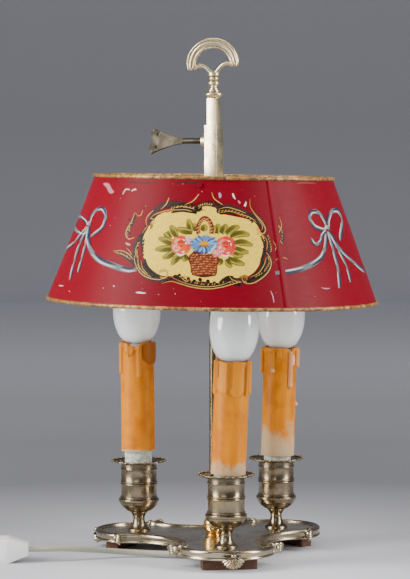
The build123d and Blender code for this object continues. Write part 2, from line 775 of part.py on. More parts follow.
for name, (azimuth, raised, lean) in CANDLES.items():
    base = Plane(compass(azimuth, CUP_REACH, TRAY_TOP), x_dir=compass(azimuth), z_dir=UP)
    with BuildPart() as candle_cup:
        with BuildSketch(through_axis(base)):
            with BuildLine():
                Polyline(
                    (BOLT_R + THREAD_GAP, CUP_FLOOR_UP),
                    (BOLT_R + THREAD_GAP, 0),
                    (CUP_FOOT_R, 0),
                    (CUP_FOOT_R, CUP_FOOT_EDGE),
                )
                Spline(
                    (CUP_FOOT_R, CUP_FOOT_EDGE),
                    (CUP_NECK_R, CUP_NECK_UP),
                    (CUP_THROAT_R, CUP_THROAT_UP),
                    tangents=((-1, 0.3), (1, 0.8)),
                )
                ThreePointArc(
                    (CUP_THROAT_R, CUP_THROAT_UP),
                    (BOWL_R * 0.9, (CUP_THROAT_UP + BOWL_UP) / 2 - BEAD_R),
                    (BOWL_R, BOWL_UP),
                )
                Polyline(
                    (BOWL_R, BOWL_UP),
                    (NOZZLE_R, BOWL_LIP_UP),
                    (NOZZLE_R, NOZZLE_TOP_UP),
                    (NOZZLE_BORE_R, NOZZLE_TOP_UP),
                    (NOZZLE_BORE_R, CUP_FLOOR_UP),
                    (BOLT_R + THREAD_GAP, CUP_FLOOR_UP),
                )
            make_face()
            with Locations([(NOZZLE_R, up) for up in BEAD_UPS]):
                Circle(BEAD_R)
            with Locations((NOZZLE_BORE_R - BEAD_R, (CUP_FLOOR_UP + NOZZLE_TOP_UP) / 2)):
                Rectangle(2 * BEAD_R, NOZZLE_TOP_UP - CUP_FLOOR_UP, mode=Mode.SUBTRACT)
        revolve(axis=axis_of(base))
    save(candle_cup, f"candle_cup_{name}")

    pan = base.offset(NOZZLE_TOP_UP)
    collar_r = NOZZLE_BORE_R - PAN_COLLAR_GAP
    with BuildPart() as drip_pan:
        with BuildSketch(pan):
            Circle(PAN_R - PAN_LOBE_R / 2)
            with PolarLocations(PAN_R - PAN_LOBE_R, PAN_LOBES):
                Circle(PAN_LOBE_R)
            Circle(collar_r - PAN_COLLAR_WALL, mode=Mode.SUBTRACT)
        extrude(amount=PAN_RIM_HEIGHT)
        with BuildSketch(pan.offset(PAN_SHEET)):
            Circle(PAN_R - PAN_RIM_WIDTH)
        extrude(amount=PAN_RIM_HEIGHT, mode=Mode.SUBTRACT)
        with BuildSketch(pan.offset(-PAN_COLLAR)):
            Circle(collar_r)
            Circle(collar_r - PAN_COLLAR_WALL, mode=Mode.SUBTRACT)
        extrude(amount=PAN_COLLAR)
    save(drip_pan, f"drip_pan_{name}")

    # A hollow bolt clamps the tube's floor, the cup and the tray together and carries the leads
    head_up = TRAY_TOP + CUP_FLOOR_UP + SEAT_GAP + FLOOR_SHEET + SEAT_GAP
    with BuildPart() as clamp_bolt:
        with BuildSketch(through_axis(Plane(base.location).offset(-TRAY_TOP))):
            drawn(
                [
                    (BOLT_BORE_R, NUT_BOTTOM - BOLT_BELOW),
                    (BOLT_R, NUT_BOTTOM - BOLT_BELOW),
                    (BOLT_R, head_up),
                    (BOLT_HEAD_R, head_up),
                    (BOLT_HEAD_R, head_up + BOLT_HEAD),
                    (BOLT_BORE_R, head_up + BOLT_HEAD),
                ]
            )
        revolve(axis=axis_of(base))
    save(clamp_bolt, f"clamp_bolt_{name}")

    # From here up everything stands on a seat that leans with this candle
    upright = UP * cos(radians(lean)) + compass(VIEW_TURN + QUARTER_TURN) * sin(radians(lean))
    seat_at = compass(azimuth, CUP_REACH, TRAY_TOP + CUP_FLOOR_UP + SEAT_GAP)
    seat = Plane(seat_at, x_dir=compass(azimuth + QUARTER_TURN).cross(upright) * -1, z_dir=upright)
    section, axis = through_axis(seat), axis_of(seat)

    with BuildPart() as inner_tube:
        with BuildSketch(section):
            drawn(
                [
                    (TUBE_HOLE_R, 0),
                    (TUBE_R, 0),
                    (TUBE_R, TUBE_LENGTH),
                    (TUBE_R - TUBE_WALL, TUBE_LENGTH),
                    (TUBE_R - TUBE_WALL, FLOOR_SHEET),
                    (TUBE_HOLE_R, FLOOR_SHEET),
                ]
            )
        revolve(axis=axis)
    save(inner_tube, f"inner_tube_{name}")

    candle_from = CANDLE_LIFT + raised
    candle_top = candle_from + CANDLE_LENGTH
    with BuildPart() as candle_sleeve:
        with BuildSketch(seat.offset(candle_from)):
            Circle(CANDLE_R)
        extrude(amount=CANDLE_LENGTH)
        fillet(candle_sleeve.edges().sort_by(axis)[-1], CANDLE_EDGE)
        for drip_turn, drops in DRIPS[name]:
            with BuildSketch(seat.offset(candle_top)):
                with PolarLocations(CANDLE_R, 1, start_angle=drip_turn):
                    Circle(DRIP_R)
            extrude(amount=-drops * DRIP_DROP)
        with BuildSketch(seat.offset(candle_from)):
            Circle(CANDLE_BORE_R)
        extrude(amount=CANDLE_LENGTH, mode=Mode.SUBTRACT)
    save(candle_sleeve, f"candle_sleeve_{name}")

    holder_top = candle_top - HOLDER_BELOW_RIM
    holder_from = HOLDER_FROM + raised
    spigot_r = TUBE_R - TUBE_WALL - SPIGOT_GAP
    with BuildPart() as lampholder:
        with BuildSketch(section):
            drawn(
                [
                    (spigot_r - HOLDER_WALL, holder_from - HOLDER_SPIGOT),
                    (spigot_r, holder_from - HOLDER_SPIGOT),
                    (spigot_r, holder_from),
                    (HOLDER_R, holder_from),
                    (HOLDER_R, holder_top),
                    (SCREW_SHELL_R + THREAD_GAP, holder_top),
                    (SCREW_SHELL_R + THREAD_GAP, holder_from + HOLDER_FLOOR),
                    (CONTACT_R, holder_from + HOLDER_FLOOR),
                    (CONTACT_R, holder_from),
                    (spigot_r - HOLDER_WALL, holder_from),
                ]
            )
        revolve(axis=axis)
    save(lampholder, f"lampholder_{name}")

    shell_from = holder_from + HOLDER_FLOOR + CONTACT_HEIGHT
    with BuildPart() as socket_contacts:
        with BuildSketch(section):
            drawn(
                [
                    (SCREW_SHELL_BORE_R, shell_from),
                    (SCREW_SHELL_R, shell_from),
                    (SCREW_SHELL_R, shell_from + SCREW_SHELL_LENGTH),
                    (SCREW_SHELL_BORE_R, shell_from + SCREW_SHELL_LENGTH),
                ]
            )
        revolve(axis=axis)
        with BuildSketch(seat.offset(holder_from + HOLDER_FLOOR - CONTACT_HEIGHT)):
            Circle(CONTACT_R - THREAD_GAP)
        extrude(amount=CONTACT_HEIGHT)
        with BuildSketch(seat.offset(holder_from + HOLDER_FLOOR)):
            Rectangle(2 * SCREW_SHELL_BORE_R * 0.8, CONTACT_R)
        extrude(amount=CONTACT_HEIGHT / 2)
    save(socket_contacts, f"socket_contacts_{name}")

    cap_top = holder_top + CAP_ABOVE_HOLDER
    with BuildPart() as bulb_cap:
        with BuildSketch(section):
            drawn(
                [
                    (0, cap_top - CAP_LENGTH),
                    (CAP_TIP_R, cap_top - CAP_LENGTH),
                    (CAP_TIP_R, cap_top - CAP_LENGTH + CAP_TIP / 2),
                    (CAP_R, cap_top - CAP_LENGTH + CAP_TIP),
                    (CAP_R, cap_top),
                    (0, cap_top),
                ]
            )
        revolve(axis=axis)
    save(bulb_cap, f"bulb_cap_{name}")

    with BuildPart() as bulb_glass:
        with BuildSketch(section):
            add(glass_section(cap_top, 0))
            add(glass_section(cap_top, GLASS_WALL), mode=Mode.SUBTRACT)
        revolve(axis=axis)
    save(bulb_glass, f"bulb_glass_{name}")


# ---------------------------------------------------------------- cord
def bend_radii(points):
    """For each corner of a route, the largest arc that its two runs allow."""
    radii = []
    for before, corner, after in zip(points, points[1:], points[2:]):
        into, out = Vector(corner) - Vector(before), Vector(after) - Vector(corner)
        turn = radians(into.get_angle(out))
        radii.append(BEND_SHARE * min(into.length, out.length) / tan(turn / 2))
    return radii


def tube(points, radius):
    """A round cord along a route of straight runs joined by arcs."""
    with BuildPart() as cord:
        with BuildLine() as route:
            if len(points) > 2:
                FilletPolyline(*points, radius=bend_radii(points))
            else:
                Line(*points)
        with BuildSketch(Plane(route.line @ 0, z_dir=route.line % 0)):
            Circle(radius)
        sweep(path=route.line)
    length = sum(edge.length for edge in route.line.edges())
    share = cord.part.volume / (pi * radius**2 * length)
    bends = [round(bend, 1) for bend in bend_radii(points)]
    print(f"route of {length:.1f} mm, volume share {share:.4f}, bends {bends}")
    return cord


def local_point(plane, along, across=0.0, up=0.0):
    return plane.from_local_coords((along, across, up))


SWITCH = Plane(
    (SWITCH_X, SWITCH_Y, 0),
    x_dir=(cos(radians(SWITCH_TURN)), sin(radians(SWITCH_TURN)), 0),
    z_dir=UP,
)
HALF_SWITCH = SWITCH_LENGTH / 2
CORD_STANDOFF = 12.0

# From the terminal block, through the clip, out under the tray and up into the switch
LEAD_ROUTE = [
    (8.0, -17.0, 6.6),
    (-7.0, -28.2, 6.2),
    (-27.0, -25.5, 3.6),
    (-52.3, -12.9, 3.2),
    (-72.5, -11.4, 4.5),
    (-93.6, -17.0, 7.0),
    (-114.0, -20.2, 8.9),
    local_point(SWITCH, -HALF_SWITCH - CORD_STANDOFF, up=SWITCH_SPLIT),
    local_point(SWITCH, -HALF_SWITCH + CORD_INSERT, up=SWITCH_SPLIT),
]
save(tube(LEAD_ROUTE, CORD_R), "cord_lead")

# Out of the switch's far end, down to the table and round into the coil
TAIL_ROUTE = [
    local_point(SWITCH, HALF_SWITCH - CORD_INSERT, up=SWITCH_SPLIT),
    local_point(SWITCH, HALF_SWITCH + CORD_STANDOFF, up=SWITCH_SPLIT),
    (-225.4, -2.9, 7.4),
    (-233.0, 7.9, 4.6),
    (-235.8, 20.7, 3.0),
    (-233.5, 33.6, 3.0),
]
save(tube(TAIL_ROUTE, CORD_R), "cord_tail")

PLUG = Plane(
    (PLUG_X, PLUG_Y, PLUG_HEIGHT / 2),
    x_dir=(cos(radians(PLUG_TURN)), sin(radians(PLUG_TURN)), 0),
    z_dir=UP,
)
# Off the top of the coil and down into the back of the plug
END_ROUTE = [
    (-234.5, 36.5, 14.4),
    (-234.3, 48.5, 13.2),
    local_point(PLUG, -CORD_STANDOFF),
    local_point(PLUG, 0),
]
save(tube(END_ROUTE, CORD_R), "cord_end")

with BuildPart() as cord_coil:
    with BuildSketch(Plane.XZ.offset(-COIL_Y)):
        with Locations((COIL_X + COIL_MEAN_R, COIL_HEIGHT / 2)):
            RectangleRounded(COIL_WIDTH, COIL_HEIGHT, CORD_R)
    revolve(axis=Axis((COIL_X, COIL_Y, 0), (0, 0, 1)))
save(cord_coil, "cord_coil")


# ---------------------------------------------------------------- inline switch
def switch_plan():
    """The switch seen from above, a bar with tapered ends."""
    half, wide, narrow = HALF_SWITCH, SWITCH_WIDTH / 2, SWITCH_END_WIDTH / 2
    shoulder = half - SWITCH_TAPER
    with BuildSketch(SWITCH.offset(SWITCH_SPLIT)) as plan:
        Polygon(
            (-half, -narrow),
            (-shoulder, -wide),
            (shoulder, -wide),
            (half, -narrow),
            (half, narrow),
            (shoulder, wide),
            (-shoulder, wide),
            (-half, narrow),
            align=None,
        )
        fillet(plan.vertices(), SWITCH_CORNER)
    return plan.sketch


ROCKER = Plane(
    local_point(SWITCH, 0, up=SWITCH_HEIGHT - ROCKER_SUNK),
    x_dir=SWITCH.x_dir,
    z_dir=SWITCH.x_dir.cross(UP),
)
WELL_LENGTH = 2 * (ROCKER_R + ROCKER_GAP)
WELL_WIDTH = ROCKER_WIDTH + 2 * ROCKER_GAP


def shape_switch_ends():
    """Slopes the ends of the switch up from the table and down from its top."""
    shoulder = HALF_SWITCH - SWITCH_TAPER
    side = Plane(SWITCH.origin, x_dir=SWITCH.x_dir, z_dir=SWITCH.x_dir.cross(UP))
    with BuildSketch(side) as ends:
        Polygon(
            (-HALF_SWITCH, SWITCH_END_BOTTOM),
            (-shoulder, 0),
            (shoulder, 0),
            (HALF_SWITCH, SWITCH_END_BOTTOM),
            (HALF_SWITCH, SWITCH_END_TOP),
            (shoulder, SWITCH_HEIGHT),
            (-shoulder, SWITCH_HEIGHT),
            (-HALF_SWITCH, SWITCH_END_TOP),
            align=None,
        )
    extrude(ends.sketch, amount=SWITCH_WIDTH, both=True, mode=Mode.INTERSECT)


def cut_cord_channels():
    for end in (-1, 1):
        mouth = Plane(
            local_point(SWITCH, end * HALF_SWITCH, up=SWITCH_SPLIT),
            x_dir=UP,
            z_dir=SWITCH.x_dir * end,
        )
        with BuildSketch(mouth) as channel:
            Circle(CORD_R + CORD_GAP)
        extrude(channel.sketch, amount=-CHANNEL_DEPTH, mode=Mode.SUBTRACT)


with BuildPart() as switch_lower:
    add(switch_plan())
    extrude(amount=-SWITCH_SPLIT, taper=SWITCH_SLOPE)
    shape_switch_ends()
    with BuildSketch(SWITCH.offset(ROCKER_WELL)):
        Rectangle(WELL_LENGTH, WELL_WIDTH)
    extrude(amount=SWITCH_SPLIT - ROCKER_WELL, mode=Mode.SUBTRACT)
    cut_cord_channels()
    with BuildSketch(SWITCH):
        with GridLocations(SWITCH_SCREW_SPACING, 1, 2, 1):
            Circle(SCREW_R + THREAD_GAP)
    extrude(amount=SWITCH_SPLIT, mode=Mode.SUBTRACT)
    with BuildSketch(SWITCH):
        with GridLocations(SWITCH_SCREW_SPACING, 1, 2, 1):
            Circle(SCREW_HEAD_R + THREAD_GAP)
    extrude(amount=2 * SCREW_HEAD, mode=Mode.SUBTRACT)
save(switch_lower, "switch_lower")

SCREW_REACH = (SWITCH_HEIGHT - SWITCH_SPLIT) / 2
with BuildPart() as switch_upper:
    add(switch_plan())
    extrude(amount=SWITCH_HEIGHT - SWITCH_SPLIT, taper=SWITCH_SLOPE)
    shape_switch_ends()
    fillet(switch_upper.faces().sort_by(Axis.Z)[-1].edges(), SWITCH_CORNER / 2)
    with BuildSketch(SWITCH.offset(SWITCH_SPLIT)):
        Rectangle(WELL_LENGTH, WELL_WIDTH)
    extrude(amount=SWITCH_HEIGHT, mode=Mode.SUBTRACT)
    cut_cord_channels()
    with BuildSketch(SWITCH.offset(SWITCH_SPLIT)):
        with GridLocations(SWITCH_SCREW_SPACING, 1, 2, 1):
            Circle(SCREW_R + THREAD_GAP)
    extrude(amount=SCREW_REACH, mode=Mode.SUBTRACT)
    with BuildSketch(ROCKER):
        Circle(ROCKER_PIN_R + THREAD_GAP)
    extrude(amount=WELL_WIDTH / 2 + ROCKER_PIN, both=True, mode=Mode.SUBTRACT)
save(switch_upper, "switch_upper")

with BuildPart() as switch_rocker:
    with BuildSketch(ROCKER):
        reach = ROCKER_R + ROCKER_GAP
        Circle(ROCKER_R)
        with BuildLine():
            Polyline(
                (-reach, ROCKER_SUNK),
                (0, ROCKER_SUNK),
                (reach, ROCKER_SUNK + reach * tan(radians(ROCKER_TRAVEL))),
                (reach, 0),
                (ROCKER_R / 3, -ROCKER_BELLY),
                (-ROCKER_R / 3, -ROCKER_BELLY),
                (-reach, 0),
                close=True,
            )
        make_face(mode=Mode.INTERSECT)
    extrude(amount=ROCKER_WIDTH / 2, both=True)
    with BuildSketch(ROCKER):
        Circle(ROCKER_PIN_R)
    extrude(amount=WELL_WIDTH / 2 + ROCKER_PIN - THREAD_GAP, both=True)
save(switch_rocker, "switch_rocker")

with BuildPart() as switch_screws:
    with BuildSketch(SWITCH.offset(SCREW_HEAD)):
        with GridLocations(SWITCH_SCREW_SPACING, 1, 2, 1):
            Circle(SCREW_HEAD_R)
    extrude(amount=SCREW_HEAD)
    with BuildSketch(SWITCH.offset(2 * SCREW_HEAD)):
        with GridLocations(SWITCH_SCREW_SPACING, 1, 2, 1):
            Circle(SCREW_R)
    extrude(amount=SWITCH_SPLIT + SCREW_REACH - 2 * SCREW_HEAD - THREAD_GAP)
save(switch_screws, "switch_screws")


# ---------------------------------------------------------------- plug
with BuildPart() as plug_body:
    with BuildSketch(PLUG.offset(-PLUG_HEIGHT / 2)) as plan:
        Polygon(
            (0, -PLUG_BACK / 2),
            (PLUG_LENGTH * 0.45, -PLUG_WIDTH / 2),
            (PLUG_LENGTH * 0.82, -PLUG_NOSE_WIDTH / 2),
            (PLUG_LENGTH, -PLUG_NOSE_WIDTH / 2),
            (PLUG_LENGTH, PLUG_NOSE_WIDTH / 2),
            (PLUG_LENGTH * 0.82, PLUG_NOSE_WIDTH / 2),
            (PLUG_LENGTH * 0.45, PLUG_WIDTH / 2),
            (0, PLUG_BACK / 2),
            align=None,
        )
        fillet(plan.vertices(), PLUG_EDGE)
    extrude(amount=PLUG_HEIGHT)
    chamfer(plug_body.faces().filter_by(Axis.Z).edges(), PLUG_EDGE * 0.6)
    for side in (-1, 1):
        with BuildSketch(
            Plane(local_point(PLUG, PLUG_LENGTH, side * PIN_SPACING / 2), x_dir=UP, z_dir=PLUG.x_dir)
        ):
            Circle(PIN_R + THREAD_GAP)
        extrude(amount=-PIN_SEAT, mode=Mode.SUBTRACT)
save(plug_body, "plug_body")

with BuildPart() as plug_pins:
    for side in (-1, 1):
        with BuildSketch(
            Plane(
                local_point(PLUG, PLUG_LENGTH - PIN_SEAT, side * PIN_SPACING / 2),
                x_dir=UP,
                z_dir=PLUG.x_dir,
            )
        ):
            Circle(PIN_R)
        extrude(amount=PIN_SEAT + PIN_LENGTH)
    fillet(plug_pins.edges().sort_by(Axis.Y)[-2:], PIN_R * 0.6)
save(plug_pins, "plug_pins")


# ---------------------------------------------------------------- wiring under the tray
start, heading = Vector(LEAD_ROUTE[0]), Vector(LEAD_ROUTE[1]) - Vector(LEAD_ROUTE[0])
heading = Vector(heading.X, heading.Y, 0).normalized()
BLOCK = Plane(
    start - heading * (BLOCK_WIDTH / 2 + CORD_GAP) - UP * start.Z, x_dir=heading, z_dir=UP
)
with BuildPart() as terminal_block:
    with BuildSketch(BLOCK.offset(TRAY_UNDER - BLOCK_HEIGHT)):
        Rectangle(BLOCK_WIDTH, BLOCK_LENGTH)
    extrude(amount=BLOCK_HEIGHT)
    with BuildSketch(BLOCK.offset(TRAY_UNDER - BLOCK_HEIGHT)):
        with GridLocations(BLOCK_WIDTH / 2, BLOCK_LENGTH / 3, 2, 3):
            Circle(SCREW_R)
    extrude(amount=BLOCK_HEIGHT / 4, mode=Mode.SUBTRACT)
save(terminal_block, "terminal_block")

clip_at = (Vector(LEAD_ROUTE[0]) + Vector(LEAD_ROUTE[1])) / 2
run = (Vector(LEAD_ROUTE[1]) - Vector(LEAD_ROUTE[0])).normalized()
CLIP = Plane(clip_at - UP * clip_at.Z, x_dir=heading, z_dir=UP)
with BuildPart() as cord_clip:
    with BuildSketch(CLIP.offset(CLIP_BOTTOM)):
        RectangleRounded(CLIP_WIDTH, CLIP_LENGTH, CLIP_WIDTH / 4)
    extrude(amount=TRAY_UNDER - CLIP_BOTTOM)
    with BuildSketch(Plane(clip_at, z_dir=run)):
        Circle(CORD_R + CORD_GAP)
    extrude(amount=CLIP_LENGTH, both=True, mode=Mode.SUBTRACT)
    with BuildSketch(CLIP.offset(CLIP_BOTTOM)):
        with GridLocations(1, CLIP_LENGTH - 2 * SCREW_HEAD_R, 1, 2):
            Circle(SCREW_R + THREAD_GAP)
    extrude(amount=TRAY_UNDER - CLIP_BOTTOM, mode=Mode.SUBTRACT)
save(cord_clip, "cord_clip")

with BuildPart() as clip_screws:
    with BuildSketch(CLIP.offset(CLIP_BOTTOM - SCREW_HEAD)):
        with GridLocations(1, CLIP_LENGTH - 2 * SCREW_HEAD_R, 1, 2):
            Circle(SCREW_HEAD_R)
    extrude(amount=SCREW_HEAD)
    with BuildSketch(CLIP.offset(CLIP_BOTTOM)):
        with GridLocations(1, CLIP_LENGTH - 2 * SCREW_HEAD_R, 1, 2):
            Circle(SCREW_R)
    extrude(amount=TRAY_UNDER - CLIP_BOTTOM)
save(clip_screws, "clip_screws")

# A pair of wires in one sleeve runs from the block to each candle's hollow bolt
INNER_ROUTES = {
    "front": [(20.6, -23.4), (25.0, -33.0), (18.0, -47.0)],
    "right": [(21.4, -14.2), (30.0, -7.5), (44.0, 10.0)],
    "left": [(13.2, -3.4), (20.5, 4.5), (14.0, 16.0), (-8.0, 21.0), (-34.0, 25.0)],
}
INNER_UP = 6.6
INNER_RISE = 10.0
with BuildPart() as inner_leads:
    for name, (azimuth, _, _) in CANDLES.items():
        bolt = compass(azimuth, CUP_REACH, INNER_UP)
        inner = [(x, y, INNER_UP) for x, y in INNER_ROUTES[name]]
        inner += [bolt, bolt + UP * INNER_RISE]
        add(tube(inner, LEAD_R).part)
save(inner_leads, "inner_leads")
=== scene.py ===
"""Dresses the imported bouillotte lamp: its plated tray, candle lights, painted shade and cord."""

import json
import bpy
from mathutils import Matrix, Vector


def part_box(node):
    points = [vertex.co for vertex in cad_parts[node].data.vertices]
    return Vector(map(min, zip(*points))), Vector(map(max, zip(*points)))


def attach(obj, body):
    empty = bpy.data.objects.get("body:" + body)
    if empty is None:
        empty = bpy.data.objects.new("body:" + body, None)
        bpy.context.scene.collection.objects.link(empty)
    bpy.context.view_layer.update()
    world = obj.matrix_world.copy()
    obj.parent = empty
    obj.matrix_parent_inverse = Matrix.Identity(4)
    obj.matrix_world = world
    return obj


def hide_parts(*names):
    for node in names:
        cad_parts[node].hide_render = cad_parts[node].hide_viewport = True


bl_info = {
    "name": "Bouillotte Lamp",
    "version": (1, 0, 0),
    "blender": (4, 5, 0),
    "location": "View3D > Sidebar > Lamp",
    "description": "Finishes and fine pieces for a three-candle lamp with a sliding painted shade",
    "category": "Object",
}

from math import acos, atan, atan2, cos, degrees, hypot, pi, radians, sin, sqrt
from random import Random

import bmesh
import bpy
from bpy.props import FloatProperty, FloatVectorProperty, IntProperty, PointerProperty
from mathutils import Matrix, Vector, noise

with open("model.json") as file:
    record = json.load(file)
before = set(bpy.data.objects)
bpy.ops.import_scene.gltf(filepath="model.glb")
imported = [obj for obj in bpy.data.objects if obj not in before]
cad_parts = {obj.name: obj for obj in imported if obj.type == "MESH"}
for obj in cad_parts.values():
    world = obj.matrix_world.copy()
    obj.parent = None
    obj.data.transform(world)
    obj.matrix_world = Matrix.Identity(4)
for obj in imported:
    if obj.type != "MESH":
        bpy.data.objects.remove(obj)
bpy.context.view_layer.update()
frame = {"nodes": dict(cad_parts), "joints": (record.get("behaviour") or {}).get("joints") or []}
JOINTS = {joint["name"]: joint for joint in frame["joints"]}

MM = 0.001
UP = Vector((0, 0, 1))
FULL_TURN = 2 * pi
# Each candle and its azimuth in degrees
CANDLES = {"front": 0.0, "right": 120.0, "left": -120.0}


# ---------------------------------------------------------------- places read from the frame
def low(node):
    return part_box(node)[0]


def high(node):
    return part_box(node)[1]


def middle(node):
    return (low(node) + high(node)) / 2


def compass(azimuth, reach=1.0, height=0.0):
    """The point at an azimuth in degrees, where 0 is -Y and angles grow towards +X."""
    return Vector((reach * sin(radians(azimuth)), -reach * cos(radians(azimuth)), height))


TRAY_TOP = high("base_tray").z
LOBE_REACH = -low("tray_border").y
SHADE_BOTTOM = middle("shade_bottom_wire").z
SHADE_TOP = middle("shade_top_wire").z
RIM_R = (high("shade_bottom_wire").z - low("shade_bottom_wire").z) / 2
SHADE_BOTTOM_R = high("shade_bottom_wire").x - RIM_R
SHADE_TOP_R = high("shade_top_wire").x - RIM_R
SHADE_SLOPE = (SHADE_BOTTOM_R - SHADE_TOP_R) / (SHADE_TOP - SHADE_BOTTOM)


def seat(name):
    """A candle's own frame: its seat at the origin and its leaning axis as Z, with X outwards."""
    joint = JOINTS[f"bulb_turn_{name}"]
    up = Vector(joint["axis"]).normalized()
    out = Vector(joint["pos_m"])
    out = (out - UP * out.z).normalized()
    side = up.cross(out).normalized()
    out = side.cross(up)
    turn = Matrix((out, side, up)).transposed().to_4x4()
    return Matrix.Translation(joint["pos_m"]) @ turn


def extent(node, place):
    """A node's lowest and highest reach along a placed Z axis."""
    back = place.inverted()
    heights = [(back @ vertex.co).z for vertex in frame["nodes"][node].data.vertices]
    return min(heights), max(heights)


# ---------------------------------------------------------------- settings
class StageSettings(bpy.types.PropertyGroup):
    """The floor, the backdrop, the lights and the camera."""

    floor: FloatVectorProperty(
        name="Floor", description="Floor near the lamp", subtype="COLOR", default=(0.78, 0.79, 0.85)
    )
    # The backdrop colour is painted shade: the paper far out, where the lights don't reach
    backdrop: FloatVectorProperty(
        name="Backdrop", description="Paper behind the lamp", subtype="COLOR",
        default=(0.125, 0.125, 0.138),
    )
    key_power: FloatProperty(name="Key", description="Left light", subtype="POWER", default=40.0)
    fill_power: FloatProperty(name="Fill", description="Right light", subtype="POWER", default=33.0)


class MetalSettings(bpy.types.PropertyGroup):
    """Silver plate and bare brass."""

    silver: FloatVectorProperty(
        name="Silver", description="Polished plate", subtype="COLOR", default=(0.74, 0.65, 0.49)
    )
    tarnish: FloatVectorProperty(
        name="Tarnish", description="Dull film on the plate", subtype="COLOR",
        default=(0.3, 0.245, 0.165),
    )
    brass: FloatVectorProperty(
        name="Brass", description="Polished brass", subtype="COLOR", default=(0.85, 0.58, 0.2)
    )
    pearls: IntProperty(
        name="Pearls", description="Pearls round each drip pan", default=26, min=8, max=60
    )
    shell_ribs: IntProperty(
        name="Shell ribs", description="Ribs of each cast shell", default=9, min=3, max=21
    )


class CandleSettings(bpy.types.PropertyGroup):
    """Card candle sleeves and opal bulbs."""

    wax: FloatVectorProperty(
        name="Wax", description="Sleeve colour", subtype="COLOR", default=(0.6, 0.175, 0.0)
    )
    bare: FloatVectorProperty(
        name="Bare", description="Rubbed card", subtype="COLOR", default=(0.52, 0.39, 0.23)
    )
    glass: FloatVectorProperty(
        name="Glass", description="Opal glass", subtype="COLOR", default=(0.94, 0.95, 0.93)
    )


class ShadeSettings(bpy.types.PropertyGroup):
    """Lacquered tole shade."""

    lacquer: FloatVectorProperty(
        name="Lacquer", description="Shade's ground", subtype="COLOR", default=(0.185, 0.0015, 0.009)
    )
    gilt: FloatVectorProperty(
        name="Gilt", description="Rims and gold lines", subtype="COLOR", default=(0.36, 0.17, 0.035)
    )
    lining: FloatVectorProperty(
        name="Lining", description="Inside of the shade", subtype="COLOR", default=(0.72, 0.68, 0.58)
    )
    dents: FloatProperty(
        name="Dents", description="How far the sheet waves", unit="LENGTH", default=0.5 * MM
    )


class CordSettings(bpy.types.PropertyGroup):
    """Flex, switch and plug."""

    diameter: FloatProperty(
        name="Diameter", description="Thickness of the flex", unit="LENGTH", default=4 * MM
    )
    turns: FloatProperty(
        name="Turns", description="Turns in each layer of the coil", default=2.75, min=1, max=6
    )
    flex: FloatVectorProperty(
        name="Flex", description="Sheath", subtype="COLOR", default=(0.4, 0.39, 0.29)
    )
    plastic: FloatVectorProperty(
        name="Plastic", description="Switch and plug", subtype="COLOR", default=(0.95, 0.94, 0.92)
    )


def settings(group):
    return getattr(bpy.context.scene, f"lamp_{group}")


# ---------------------------------------------------------------- shader maths
class Socket:
    """An output of a shader node that Python's operators work on."""

    def __init__(self, shader, output):
        self.shader, self.output = shader, output

    def __add__(self, other):
        return self.shader.math("ADD", self, other)

    def __sub__(self, other):
        return self.shader.math("SUBTRACT", self, other)

    def __rsub__(self, other):
        return self.shader.math("SUBTRACT", other, self)

    def __mul__(self, other):
        return self.shader.math("MULTIPLY", self, other)

    def __truediv__(self, other):
        return self.shader.math("DIVIDE", self, other)

    def __pow__(self, other):
        return self.shader.math("POWER", self, other)

    __radd__, __rmul__ = __add__, __mul__

    def over(self, threshold, blur=0.05):
        """1 where the value is above a threshold and 0 below it, with a soft edge."""
        return self.shader.node(
            "ShaderNodeMapRange",
            {0: self, 1: threshold - blur, 2: threshold + blur},
            interpolation_type="SMOOTHSTEP",
        )

    def under(self, threshold, blur=0.05):
        return 1 - self.over(threshold, blur)


